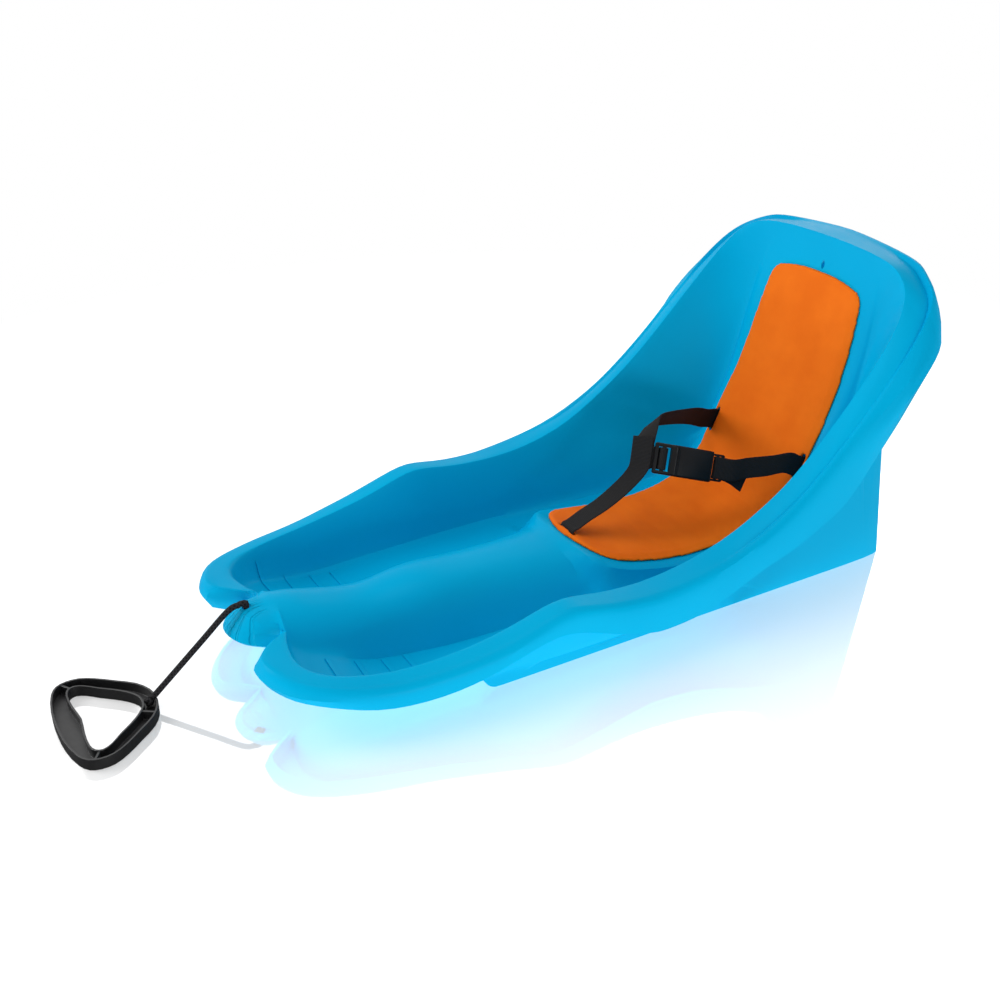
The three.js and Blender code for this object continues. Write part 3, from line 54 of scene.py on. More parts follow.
# Camera, at the photograph's viewing angle: metres, degrees, and millimetres for lens and sensor.
CAMERA_AT = (1.0082, -0.6613, 0.7489)
CAMERA_AZIMUTH = 59.82
CAMERA_ELEVATION = 28.24
CAMERA_LENS = 44.96
SENSOR = 36.0

# Light: the world's share, and lamps with place, target, size and power.
WORLD_LIGHT = 0.52
LAMPS = [
    ("key", (-0.9, -1.6, 1.1), (0, 0.05, 0.1), 0.9, 17),
    ("top", (-0.1, -0.2, 1.6), (0.05, -0.05, 0), 0.9, 5),
    ("side", (1.9, -0.3, 0.2), (0.2, 0.1, 0.1), 0.5, 7),
    ("rear", (-0.9, 1.3, 1.0), (0, 0.2, 0.2), 0.8, 4),
]

# The floor in metres: its half size, and how far it lies below the ground.
FLOOR_HALF = 40
FLOOR_DROP = 0.0003

# How the floor looks: its glow, what it throws back on the object, its grey, and its grey in mirrors.
FLOOR_GLOW = 0.65
FLOOR_BOUNCE = 2.0
FLOOR_GREY = (0.8, 0.8, 0.8, 1)
FLOOR_DULL = (0.15, 0.15, 0.15, 1)

# The floor's mirror: its share at the object's foot and its roughness; in metres, the foot's half size,
# how far forward the foot lies, and how far outside it the mirror ends.
FLOOR_MIRROR = 0.5
MIRROR_ROUGHNESS = 0.04
FOOT_HALF = (0.14, 0.4, 0)
FOOT_BACK = (0, 0.06, 0)
MIRROR_FADE = 0.34

# The floor turns plain white between these distances from the middle, in metres.
WHITE_FROM = 0.85
WHITE_FULL = 1.25

# Colours in screen values: pairs between which each material wanders.
SHELL_BLUES = ((0, 163, 211), (0, 170, 217))
FOAM_ORANGES = ((232, 106, 8), (240, 114, 14))
# The webbing's pair runs from painted shade in the weave's grooves to the tops of its ribs.
WEBBING_SHADE_TO_RIB_BLACKS = ((4, 4, 5), (40, 39, 40))
# The cord's pair runs from painted shade between the braid's strands to the tops of the strands.
CORD_SHADE_TO_STRAND_BLACKS = ((4, 4, 5), (38, 37, 40))
PLASTIC_BLACKS = ((11, 11, 13), (18, 18, 20))

# The middle values of a noise, which are spread over the whole range.
NOISE_WIDE = (0.3, 0.7)
NOISE_NARROW = (0.35, 0.65)

# The shell's grain: its depth beside the nose's grooves, which are 1 deep.
GRAIN_DEPTH = 0.06

# Pitches of the weave and the braid in metres, and the share of the warp beside the ribs.
RIB_PITCH = 0.0015
WARP_PITCH = 0.0011
WARP_SHARE = 0.35
BRAID_PITCH = 0.0042
BRAID_WIDTH = 0.00471

# The grooves on the nose, in metres: where they start from, how many rays go round, and their reach
# with its soft ends; how far back they fade out, and the cosines between which a groove deepens.
FAN_AT = (0, -0.368, 0.098)
FAN_RAYS = 28
FAN_FROM = 0.015
FAN_RISE = 0.004
FAN_TO = 0.062
FAN_FALL = 0.01
FAN_BACK = (0.016, 0.024)
FAN_DEEPENS = (0.72, 0.95)

# Angles in degrees over which an edge stays an edge.
SHELL_CREASE = 38
PAD_CREASE = 60
BUCKLE_CREASE = 35
GRIP_CREASE = 38
BEVEL_CREASE = 40

# The shell's rounding: how far from flat and from square two triangles may be to join, and its levels.
JOIN_FLAT = 32
JOIN_TURNED = 60
SHELL_LEVELS = 1

# Bevels on hard edges: widths in millimetres, and how many faces across.
BUCKLE_BEVEL = 0.3
GRIP_BEVEL = 0.7
BEVEL_FACES = 2

# The buckle's nodes and the bodies that carry them.
BUCKLE_BODIES = {
    "buckle_housing": "sled",
    "buckle_plug": "plug",
    "prong_upper": "prong_top",
    "prong_lower": "prong_bottom",
}

# The pad's skin: its voxels in metres, and how strongly and how often it is relaxed.
PAD_VOXEL = 0.0016
PAD_RELAX = 0.5
PAD_PASSES = 6

# Webbing, in millimetres, and how many points lie across it and round each edge.
WEB_THICKNESS = 1.6
WEB_STEP = 1.2
WEB_COLUMNS = 10
WEB_ROUND = 6

# The selvedge, in shares: how much thinner the middle is, and where the selvedge begins and its slope.
MIDDLE_THINNER = 0.16
SELVEDGE_FROM = 0.86
SELVEDGE_SLOPE = 0.1

# Points of a spline for each row that it goes through.
SPLINE_POINTS = 40

# A tube that starts this close to the x axis takes its first side from the y axis.
NEARLY_ALONG = 0.9

# Rope and knots, in millimetres, and a knot's shares: of the rope, the ring, its swing and its height.
ROPE_DIAMETER = 6.0
ROPE_SIDES = 28
ROPE_STEPS = 220
ROPE_LENGTH = 122.9
NOSE_KNOT_RADIUS = 6.4
GRIP_KNOT_RADIUS = 5.1
KNOT_STEPS = 260
KNOT_SIDES = 18
KNOT_ROPE = 0.72
KNOT_RING = 0.62
KNOT_SWING = 0.38
KNOT_HEIGHT = 0.72
NOSE_KNOT_AT = (0, -361.035, 72.1)
GRIP_KNOT_AT = (0, -466.515, 7.5)

# The rope's neck in millimetres, which comes up through the nose's hole and bends to the rope.
ROPE_HOLE_AT = (0, -361.035, 86.165)
NECK_REACH = 6.7
NECK_RISE = 0.6
NECK_STEM_STEPS = 12
NECK_BEND_STEPS = 10

# The rope's route from the nose to the grip.
ROPE_ROUTE = [
    (0, -367.33, 86.17),
    (0, -374.33, 85.27),
    (0, -381.33, 81.27),
    (0, -407.32, 58.76),
    (0, -434.10, 35.57),
    (0, -460.09, 13.06),
    (0, -462.73, 10.77),
]

# Belt routes in millimetres: place, direction of the width, and the width, wider where a fold slants.
CROTCH_ROUTE = [
    (0, 13.5, 51.2, 1.00, 0.00, 0.00, 25.0),
    (0, 11.5, 48.6, 1.00, 0.00, 0.00, 25.0),
    (0, 9.6, 48.3, 1.00, 0.00, 0.00, 25.0),
    (0, 7.8, 49.2, 1.00, 0.00, 0.00, 25.0),
    (0, 6.8, 51, 1.00, 0.00, 0.00, 25.0),
    (0, 7.1, 52.9, 1.00, 0.00, 0.00, 25.0),
    (0, 13, 64.9, 1.00, 0.00, 0.00, 25.0),
    (0, 19, 66.5, 1.00, 0.00, 0.00, 25.0),
    (0, 35.5, 73.6, 1.00, 0.02, 0.00, 25.0),
    (0.2, 48.5, 78.2, 1.00, 0.05, 0.00, 25.0),
    (0.7, 61.3, 84, 1.00, 0.10, -0.00, 25.0),
    (2.3, 82.5, 97.6, 0.97, 0.23, 0.01, 25.0),
    (3.4, 96.5, 109.4, 0.91, 0.41, 0.07, 25.0),
    (3.2, 103.1, 116.7, 0.86, 0.50, 0.11, 25.0),
    (2.5, 105.1, 119.9, 0.85, 0.52, 0.11, 25.0),
    (-8.4, 116.7, 147.8, 0.85, 0.51, 0.11, 25.0),
]
RIGHT_ROUTE = [
    (-69.6, 282.6, 103.7, 0.00, 0.41, 0.91, 25.0),
    (-70.2, 285.5, 102.4, 0.00, 0.41, 0.91, 25.0),
    (-71.8, 286.5, 101.9, 0.00, 0.41, 0.91, 25.0),
    (-73.8, 286.5, 101.9, 0.00, 0.41, 0.91, 25.0),
    (-75.4, 285.4, 102.4, 0.00, 0.41, 0.91, 25.0),
    (-76, 283.7, 103.2, 0.00, 0.41, 0.91, 25.0),
    (-75.9, 271.6, 108.7, 0.00, 0.41, 0.91, 25.0),
    (-71, 256, 114, 0.12, 0.38, 0.92, 25.0),
    (-59.4, 229.1, 127.4, 0.24, 0.40, 0.88, 25.0),
    (-45.2, 197.1, 139.7, 0.35, 0.45, 0.82, 25.0),
    (-28, 152, 153.1, 0.43, 0.50, 0.76, 25.0),
    (-23.9, 141.8, 155.1, 0.46, 0.52, 0.72, 25.0),
    (-22.2, 138.5, 154.8, 0.48, 0.53, 0.70, 25.0),
    (-19.1, 134.1, 152.9, 0.55, 0.54, 0.64, 25.0),
    (-15.1, 128.5, 149.3, 0.66, 0.54, 0.52, 25.0),
    (-9.6, 119.7, 142.5, 0.82, 0.53, 0.23, 25.0),
    (-7.3, 116.8, 139.1, 0.85, 0.51, 0.11, 25.0),
    (-2.6, 111.5, 126.9, 0.84, 0.10, -0.54, 35.4),
    (-2.6, 110.2, 126.7, 0.84, 0.10, -0.54, 35.4),
    (-1.9, 110.1, 127.8, 0.84, 0.10, -0.54, 35.4),
    (10.1, 117.3, 129.4, 0.33, -0.37, -0.87, 25.0),
    (14.9, 127.9, 126.7, 0.33, -0.37, -0.87, 25.0),
    (16.1, 128.7, 126.8, 0.33, -0.37, -0.87, 25.0),
    (18.8, 129, 127.7, 0.33, -0.37, -0.87, 25.0),
    (19.9, 128.4, 128.4, 0.33, -0.37, -0.87, 25.0),
    (20.9, 126, 129.7, 0.33, -0.37, -0.87, 25.0),
    (19.2, 122.4, 130.6, 0.33, -0.37, -0.87, 25.0),
    (16.9, 121.4, 130.2, 0.33, -0.37, -0.87, 25.0),
    (14.4, 122, 129, 0.33, -0.37, -0.87, 25.0),
]
LEFT_ROUTE = [
    (69.6, 282.6, 103.7, 0.00, 0.41, 0.91, 25.0),
    (70.2, 285.5, 102.4, 0.00, 0.41, 0.91, 25.0),
    (71.8, 286.5, 101.9, 0.00, 0.41, 0.91, 25.0),
    (73.8, 286.5, 101.9, 0.00, 0.41, 0.91, 25.0),
    (75.4, 285.4, 102.4, 0.00, 0.41, 0.91, 25.0),
    (76, 283.7, 103.2, 0.00, 0.41, 0.91, 25.0),
    (75.9, 271.6, 108.7, 0.00, 0.41, 0.91, 25.0),
    (73.5, 261, 114, -0.06, 0.42, 0.90, 25.0),
    (66, 241, 112, -0.16, 0.43, 0.89, 25.0),
    (57.6, 220.3, 111.1, -0.22, 0.43, 0.88, 25.0),
    (55.2, 211.9, 110.9, -0.26, 0.41, 0.87, 25.0),
    (53.3, 198.7, 111.2, -0.33, 0.37, 0.87, 25.0),
    (45.3, 181.4, 115.5, -0.33, 0.37, 0.87, 25.0),
    (44.6, 180.4, 115.6, -0.33, 0.37, 0.87, 25.0),
    (42.4, 179.3, 115.3, -0.33, 0.37, 0.87, 25.0),
    (40.2, 179.9, 114.1, -0.33, 0.37, 0.87, 25.0),
    (39.6, 180.8, 113.5, -0.33, 0.37, 0.87, 25.0),
    (39.7, 183.2, 112.6, -0.33, 0.37, 0.87, 25.0),
    (42.2, 189, 111.1, -0.33, 0.37, 0.87, 25.0),
    (48.2, 201.1, 105, -0.28, 0.49, 0.83, 25.0),
    (55, 215.2, 93.1, -0.21, 0.61, 0.77, 25.0),
]

# The left belt's rows from which it bends towards the plug, and from which it is the tail on the plug.
LEFT_TAIL_FROM = 12


def colour(red, green, blue):
    """A colour given in screen values from 0 to 255, as linear light: the usual screen curve undone."""
    def one(value):
        share = value / 255
        return share / 12.92 if share <= 0.04045 else ((share + 0.055) / 1.055) ** 2.4

    return (one(red), one(green), one(blue), 1.0)


# Geometry


def placed(name, data):
    """An object at the origin that holds a mesh, a lamp or a camera."""
    piece = bpy.data.objects.new(name, data)
    bpy.context.scene.collection.objects.link(piece)
    return piece


def shade_smooth(mesh):
    """Shades all faces of a mesh smooth."""
    mesh.polygons.foreach_set("use_smooth", np.full(len(mesh.polygons), True))
    mesh.update()


def mesh_object(name, points, faces):
    """An object at the origin from an array of points in metres and a list of faces."""
    mesh = bpy.data.meshes.new(name)
    mesh.from_pydata(points.tolist(), [], faces)
    shade_smooth(mesh)
    return placed(name, mesh)


def points_and_triangles(mesh):
    """A mesh's points, and the three points of each of its triangles."""
    mesh.calc_loop_triangles()
    corners = np.zeros(len(mesh.loop_triangles) * 3, np.int32)
    mesh.loop_triangles.foreach_get("vertices", corners)
    places = np.zeros(len(mesh.vertices) * 3, np.float32)
    mesh.vertices.foreach_get("co", places)
    return places.reshape(-1, 3), corners.reshape(-1, 3)


def turn_outward(mesh):
    """Turns a closed mesh's faces outwards when its signed volume is negative."""
    points, triangles = points_and_triangles(mesh)
    a, b, c = points[triangles].transpose(1, 0, 2)
    if np.einsum("ij,ij->i", a, np.cross(b, c)).sum() < 0:
        mesh.flip_normals()


def lofted(name, rings, along, around):
    """A closed tube through rings[i, j]: quads between ring i and i + 1, and one flat face at each end.

    along[i] and around[j] become the piece's uv in metres."""
    count, sides = rings.shape[:2]
    i, j = np.meshgrid(np.arange(count - 1), np.arange(sides), indexing="ij")
    after = (j + 1) % sides
    here, beyond = i * sides, (i + 1) * sides
    quads = np.stack([here + j, here + after, beyond + after, beyond + j], -1).reshape(-1, 4)
    width = np.append(around, around[0] + (around[-1] - around[0]) * sides / (sides - 1))
    uv = np.stack([
        np.stack([along[i], width[j]], -1),
        np.stack([along[i], width[j + 1]], -1),
        np.stack([along[i + 1], width[j + 1]], -1),
        np.stack([along[i + 1], width[j]], -1),
    ], 2).reshape(-1, 2)
    first = np.arange(sides)[::-1]
    last = (count - 1) * sides + np.arange(sides)
    faces = quads.tolist() + [first.tolist(), last.tolist()]
    piece = mesh_object(name, rings.reshape(-1, 3), faces)
    layer = piece.data.uv_layers.new(name="surface")
    ends = np.concatenate([
        np.stack([np.full(sides, along[0]), width[first]], -1),
        np.stack([np.full(sides, along[-1]), width[:sides]], -1),
    ])
    layer.data.foreach_set("uv", np.concatenate([uv, ends]).astype(np.float32).ravel())
    turn_outward(piece.data)
    return piece


def merged(node, name, crease):
    """A copy of a CAD node with its loose triangles joined where points agree to a micrometre.

    It is shaded smooth except at edges over crease degrees."""
    places, triangles = points_and_triangles(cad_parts[node].data)
    points, index = np.unique(np.round(places, 6), axis=0, return_inverse=True)
    faces = index.reshape(-1)[triangles]
    flat = (faces[:, 0] == faces[:, 1]) | (faces[:, 1] == faces[:, 2]) | (faces[:, 2] == faces[:, 0])
    piece = mesh_object(name, points, faces[~flat].tolist())
    piece.data.set_sharp_from_angle(angle=math.radians(crease))
    return piece


def subdivided(piece, crease, levels):
    """Joins a moulding's triangles into quads, holds edges over crease degrees and rounds the rest."""
    form = bmesh.new()
    form.from_mesh(piece.data)
    flat, turned = math.radians(JOIN_FLAT), math.radians(JOIN_TURNED)
    bmesh.ops.join_triangles(
        form, faces=form.faces[:], angle_face_threshold=flat, angle_shape_threshold=turned,
    )
    held = form.edges.layers.float.new("crease_edge")
    limit = math.radians(crease)
    for edge in form.edges:
        if len(edge.link_faces) == 2 and edge.calc_face_angle(0) > limit:
            edge[held] = 1.0
    form.to_mesh(piece.data)
    form.free()
    rounding = piece.modifiers.new("rounding", "SUBSURF")
    rounding.levels = rounding.render_levels = levels
    return piece


def unit(vectors):
    """Rows of vectors, each brought to length one."""
    return vectors / np.linalg.norm(vectors, axis=1)[:, None]


def length_along(points):
    """The length of a line of points from its start to each point."""
    return np.concatenate([[0], np.cumsum(np.linalg.norm(np.diff(points, axis=0), axis=1))])


def smooth_path(rows, step):
    """Evenly spaced rows along a centripetal spline through the given ones.

    The first three columns are the place, and the square root of the gap between two places is the
    time between them."""
    rows = np.array(rows, float)
    gaps = np.sqrt(np.linalg.norm(np.diff(rows[:, :3], axis=0), axis=1))
    knots = np.concatenate([[0], np.cumsum(gaps)])
    padded = np.vstack([2 * rows[0] - rows[1], rows, 2 * rows[-1] - rows[-2]])
    times = np.concatenate([[-gaps[0]], knots, [knots[-1] + gaps[-1]]])
    dense = np.linspace(0, knots[-1], SPLINE_POINTS * len(rows))
    k = np.clip(np.searchsorted(knots, dense, side="right") - 1, 0, len(rows) - 2) + 1
    t = dense[:, None]
    t0, t1, t2, t3 = (times[k + offset][:, None] for offset in (-1, 0, 1, 2))
    p0, p1, p2, p3 = (padded[k + offset] for offset in (-1, 0, 1, 2))
    a1 = p0 + (p1 - p0) * (t - t0) / (t1 - t0)
    a2 = p1 + (p2 - p1) * (t - t1) / (t2 - t1)
    a3 = p2 + (p3 - p2) * (t - t2) / (t3 - t2)
    b1 = a1 + (a2 - a1) * (t - t0) / (t2 - t0)
    b2 = a2 + (a3 - a2) * (t - t1) / (t3 - t1)
    curve = b1 + (b2 - b1) * (t - t1) / (t2 - t1)
    length = length_along(curve[:, :3])
    places = np.linspace(0, length[-1], max(2, int(length[-1] / step) + 1))
    return np.stack([np.interp(places, length, curve[:, c]) for c in range(rows.shape[1])], 1)


def webbing(name, route):
    """A woven belt: a flat section with round edges and a slightly thicker selvedge, along its route.

    Each point lies at a share of the half width across, and at a height along the face's direction,
    which is the cross product of the route's direction and the width's."""
    rows = smooth_path(route, WEB_STEP)
    points, across, width = rows[:, :3], unit(rows[:, 3:6]), rows[:, 6]
    face = unit(np.cross(unit(np.gradient(points, axis=0)), across))
    turn = np.radians(np.linspace(-90, 90, WEB_ROUND))[1:-1]
    half = WEB_THICKNESS / 2
    flat = np.linspace(-1, 1, WEB_COLUMNS)
    selvedge = 1 - MIDDLE_THINNER * np.clip((SELVEDGE_FROM - np.abs(flat)) / SELVEDGE_SLOPE, 0, 1)
    share = np.concatenate([flat, np.ones(len(turn)), flat[::-1], -np.ones(len(turn))])
    side = np.concatenate([np.full(WEB_COLUMNS, -half), np.cos(turn) * half - half])
    inset = np.concatenate([side, side])
    height = np.concatenate([
        -half * selvedge, np.sin(turn) * half,
        half * selvedge, np.sin(turn)[::-1] * half,
    ])
    place = share[None] * (width[:, None] / 2 + inset[None])
    rings = points[:, None] + across[:, None] * place[..., None] + face[:, None] * height[None, :, None]
    around = np.concatenate([[0], np.cumsum(np.hypot(np.diff(place[0]), np.diff(height)))])
    return lofted(name, rings * MM, length_along(points) * MM, around * MM)


def tube(name, points, radius, sides):
    """A round tube along points: each ring is turned by the smallest turn from the ring before it."""
    along = unit(np.gradient(points, axis=0))
    side = np.zeros_like(points)
    side[0] = np.cross(along[0], (1, 0, 0) if abs(along[0][0]) < NEARLY_ALONG else (0, 1, 0))
    for i in range(1, len(points)):
        side[i] = side[i - 1] - along[i] * (side[i - 1] @ along[i])
        side[i] /= np.linalg.norm(side[i])
    side[0] /= np.linalg.norm(side[0])
    up = np.cross(along, side)
    turn = np.linspace(0, 2 * math.pi, sides, endpoint=False)
    rings = points[:, None] + radius * (
        side[:, None] * np.cos(turn)[None, :, None] + up[:, None] * np.sin(turn)[None, :, None]
    )
    return lofted(name, rings * MM, length_along(points) * MM, turn * radius * MM)


def knot(name, centre, radius):
    """A stopper knot: a rope that winds three times across a torus for two times along, pulled tight."""
    rope = ROPE_DIAMETER / 2 * KNOT_ROPE
    room = radius - rope
    t = np.linspace(0, 2 * math.pi, KNOT_STEPS)
    reach = room * KNOT_RING + room * KNOT_SWING * np.cos(3 * t)
    points = np.stack([
        reach * np.cos(2 * t),
        reach * np.sin(2 * t),
        room * KNOT_HEIGHT * np.sin(3 * t),
    ], 1)
    return tube(name, points + np.array(centre), rope, KNOT_SIDES)


# Materials


class Finish:
    """A material's nodes, added one after another and joined by name."""

    def __init__(self, name):
        self.material = bpy.data.materials.new(name)
        self.material.use_nodes = True
        self.tree = self.material.node_tree
        self.shader = self.tree.nodes["Principled BSDF"]

    def node(self, kind, **values):
        """A new node; each value goes to the input of that name, or else to the node's own setting."""
        made = self.tree.nodes.new(kind)
        for key, value in values.items():
            if key in made.inputs:
                made.inputs[key].default_value = value
            else:
                setattr(made, key, value)
        return made

    def join(self, source, target):
        self.tree.links.new(source, target)

    def place(self, what="Object"):
        return self.node("ShaderNodeTexCoord").outputs[what]

    def noise(self, place, scale, detail=3.0):
        made = self.node("ShaderNodeTexNoise", Scale=scale, Detail=detail)
        self.join(place, made.inputs["Vector"])
        return made.outputs["Fac"]

    def split(self, place):
        """A vector's three numbers, by name."""
        made = self.node("ShaderNodeSeparateXYZ")
        self.join(place, made.inputs[0])
        return made.outputs

    def mixed(self, fac, first, second):
        """One shader or the other, chosen by fac."""
        made = self.node("ShaderNodeMixShader")
        if isinstance(fac, (int, float)):
            made.inputs[0].default_value = fac
        else:
            self.join(fac, made.inputs[0])
        self.join(first, made.inputs[1])
        self.join(second, made.inputs[2])
        return made.outputs[0]

    def remap(self, value, low, high, to_low=0.0, to_high=1.0):
        """The value with low to high stretched over to_low to to_high, and held at both ends."""
        made = self.node("ShaderNodeMapRange")
        self.join(value, made.inputs["Value"])
        ends = {"From Min": low, "From Max": high, "To Min": to_low, "To Max": to_high}
        for key, number in ends.items():
            made.inputs[key].default_value = number
        return made.outputs["Result"]

    def maths(self, operation, a, b=0.0):
        """A sum of two values, each a socket or a number."""
        made = self.node("ShaderNodeMath", operation=operation)
        for socket, value in zip(made.inputs, (a, b)):
            if isinstance(value, (int, float)):
                socket.default_value = value
            else:
                self.join(value, socket)
        return made.outputs[0]

    def turns(self, value, pitch):
        """A length as an angle that goes round once in each pitch."""
        return self.maths("MULTIPLY", value, 2 * math.pi / pitch)

    def vector(self, operation, a, b=None):
        """A vector sum of a socket and, if given, a fixed vector; a length comes out as a number."""
        made = self.node("ShaderNodeVectorMath", operation=operation)
        self.join(a, made.inputs[0])
        if b is not None:
            made.inputs[1].default_value = b
        return made.outputs["Value" if operation == "LENGTH" else "Vector"]

    def bump(self, height, strength, distance):
        """Gives the shader a relief: height 1 stands distance metres out of the surface."""
        made = self.node("ShaderNodeBump", Strength=strength, Distance=distance)
        self.join(height, made.inputs["Height"])
        self.join(made.outputs["Normal"], self.shader.inputs["Normal"])

    def base(self, fac, pair):
        """Gives the shader a colour between the two of a pair in screen values, chosen by fac."""
        made = self.node("ShaderNodeMix", data_type="RGBA")
        self.join(fac, made.inputs["Factor"])
        for socket, values in zip(made.inputs[6:8], pair):
            socket.default_value = colour(*values)
        self.join(made.outputs[2], self.shader.inputs["Base Color"])

    def roughness(self, noise, low, high):
        """Gives the shader a roughness that wanders from low to high with a noise."""
        self.join(self.remap(noise, *NOISE_WIDE, low, high), self.shader.inputs["Roughness"])

    def set(self, **values):
        """Sets inputs of the shader by name, with _ for a space."""
        for key, value in values.items():
            self.shader.inputs[key.replace("_", " ")].default_value = value
        return self


def nose_fan(finish, place):
    """The height of the fine grooves that fan out over the nose, as rays about one place."""
    from_hole = finish.vector("SUBTRACT", place, FAN_AT)
    split = finish.split(from_hole)
    turn = finish.maths("ARCTAN2", split["X"], finish.maths("MULTIPLY", split["Z"], -1))
    rays = finish.maths("COSINE", finish.maths("MULTIPLY", turn, FAN_RAYS))
    groove = finish.remap(rays, *FAN_DEEPENS)
    reach = finish.vector("LENGTH", from_hole)
    starts = finish.remap(reach, FAN_FROM, FAN_FROM + FAN_RISE)
    ends = finish.remap(reach, FAN_TO - FAN_FALL, FAN_TO, 1, 0)
    front = finish.remap(split["Y"], *FAN_BACK, 1, 0)
    shown = finish.maths("MULTIPLY", finish.maths("MULTIPLY", starts, ends), front)
    return finish.maths("MULTIPLY", finish.maths("MULTIPLY", groove, shown), -1)


def moulded_shell():
    """Satin injection-moulded plastic: a fine grain, a slow drift of colour and the nose's grooves."""
    finish = Finish("moulded_shell")
    place = finish.place()
    drift = finish.remap(finish.noise(place, 5.0, detail=2.0), *NOISE_NARROW)
    finish.base(drift, SHELL_BLUES)
    grain = finish.maths("MULTIPLY", finish.noise(place, 1400.0, detail=2.0), GRAIN_DEPTH)
    finish.roughness(finish.noise(place, 60.0), 0.3, 0.37)
    relief = finish.maths("ADD", grain, nose_fan(finish, place))
    finish.bump(relief, strength=1.0, distance=0.0011)
    return finish.set(IOR=1.49, Specular_IOR_Level=0.03).material


def foam():
    """Closed-cell foam: fine open pores in the skin over a slow mottling."""
    finish = Finish("foam_pad")
    place = finish.place()
    mottle = finish.remap(finish.noise(place, 22.0, detail=4.0), *NOISE_NARROW)
    finish.base(mottle, FOAM_ORANGES)
    cells = finish.node("ShaderNodeTexVoronoi", Scale=900.0)
    finish.join(place, cells.inputs["Vector"])
    pores = finish.maths("ADD", cells.outputs["Distance"], finish.noise(place, 260.0))
    finish.bump(pores, strength=0.3, distance=0.0003)
    return finish.set(Roughness=0.8, Specular_IOR_Level=0.15).material


def woven():
    """Black polyester webbing: ribs across the belt, broken by warp threads, and a little fuzz; its colour
    is painted shade, darker in the grooves of the weave and lighter on the ribs.
    """
    finish = Finish("woven_webbing")
    place = finish.place("UV")
    split = finish.split(place)
    ribs = finish.maths("SINE", finish.turns(split["X"], RIB_PITCH))
    warp = finish.maths("SINE", finish.turns(split["Y"], WARP_PITCH))
    weave = finish.maths("ADD", ribs, finish.maths("MULTIPLY", warp, WARP_SHARE))
    relief_and_painted_shade = finish.remap(weave, -1 - WARP_SHARE, 1 + WARP_SHARE)
    fuzz = finish.remap(finish.noise(place, 900.0), *NOISE_WIDE, 0.6, 1.1)
    # The colour follows the weave's relief: painted shade in the grooves, lighter on the ribs.
    finish.base(finish.maths("MULTIPLY", relief_and_painted_shade, fuzz), WEBBING_SHADE_TO_RIB_BLACKS)
    finish.bump(relief_and_painted_shade, strength=0.7, distance=0.0005)
    return finish.set(Roughness=0.8, Specular_IOR_Level=0.2).material


def braided():
    """Braided cord: two sets of slanting strands that cross over each other, with painted shade darker
    between the strands.
    """
    finish = Finish("braided_cord")
    split = finish.split(finish.place("UV"))
    along = finish.turns(split["X"], BRAID_PITCH)
    around = finish.turns(split["Y"], BRAID_WIDTH)
    one = finish.maths("SINE", finish.maths("ADD", along, around))
    other = finish.maths("SINE", finish.maths("SUBTRACT", along, around))
    relief_and_painted_shade = finish.remap(finish.maths("MAXIMUM", one, other), -0.6, 1.0)
    # The colour follows the braid's relief: painted shade between the strands, lighter on their tops.
    finish.base(relief_and_painted_shade, CORD_SHADE_TO_STRAND_BLACKS)
    finish.bump(relief_and_painted_shade, strength=0.8, distance=0.0006)
    return finish.set(Roughness=0.8, Specular_IOR_Level=0.2).material


def black_plastic(name, grain, roughness, gloss):
    """Moulded black plastic: a fine grain, and a roughness that wanders a little."""
    finish = Finish(name)
    place = finish.place()
    tone = finish.remap(finish.noise(place, 40.0), *NOISE_WIDE)
    finish.base(tone, PLASTIC_BLACKS)
    finish.roughness(finish.noise(place, 150.0), roughness - 0.05, roughness + 0.06)
    finish.bump(finish.noise(place, grain, detail=2.0), strength=0.2, distance=0.0002)
    return finish.set(IOR=1.5, Specular_IOR_Level=gloss).material


def paint(piece, material):
    """Gives a piece one material in place of all it has."""
    piece.data.materials.clear()
    piece.data.materials.append(material)
    return piece


def dress(piece, material, body, slot, *nodes):
    """Material, body and the CAD nodes that a piece stands for; the slot argument is not used."""
    paint(piece, material)
    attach(piece, body)
    if nodes:
        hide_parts(*nodes)
    return piece


def bevelled(piece, width):
    """A small bevel on a moulded piece's sharp edges, with even normals after it."""
    bevel = piece.modifiers.new("edges", "BEVEL")
    bevel.width = width * MM
    bevel.segments = BEVEL_FACES
    bevel.limit_method = "ANGLE"
    bevel.angle_limit = math.radians(BEVEL_CREASE)
    bevel.harden_normals = True
    bevel.use_clamp_overlap = True
    return piece


# Pieces


def look_along(piece, direction):
    """Turns a camera or a lamp to face a direction."""
    piece.rotation_mode = "QUATERNION"
    piece.rotation_quaternion = direction.to_track_quat("-Z", "Y")


def make_camera():
    """The camera, which looks against the direction that its two angles give."""
    azimuth, elevation = math.radians(CAMERA_AZIMUTH), math.radians(CAMERA_ELEVATION)
    back = Vector((
        math.sin(azimuth) * math.cos(elevation),
        -math.cos(azimuth) * math.cos(elevation),
        math.sin(elevation),
    ))
    data = bpy.data.cameras.new("camera")
    data.lens, data.sensor_width = CAMERA_LENS, SENSOR
    camera = placed("camera", data)
    camera.location = CAMERA_AT
    look_along(camera, -back)
    bpy.context.scene.camera = camera


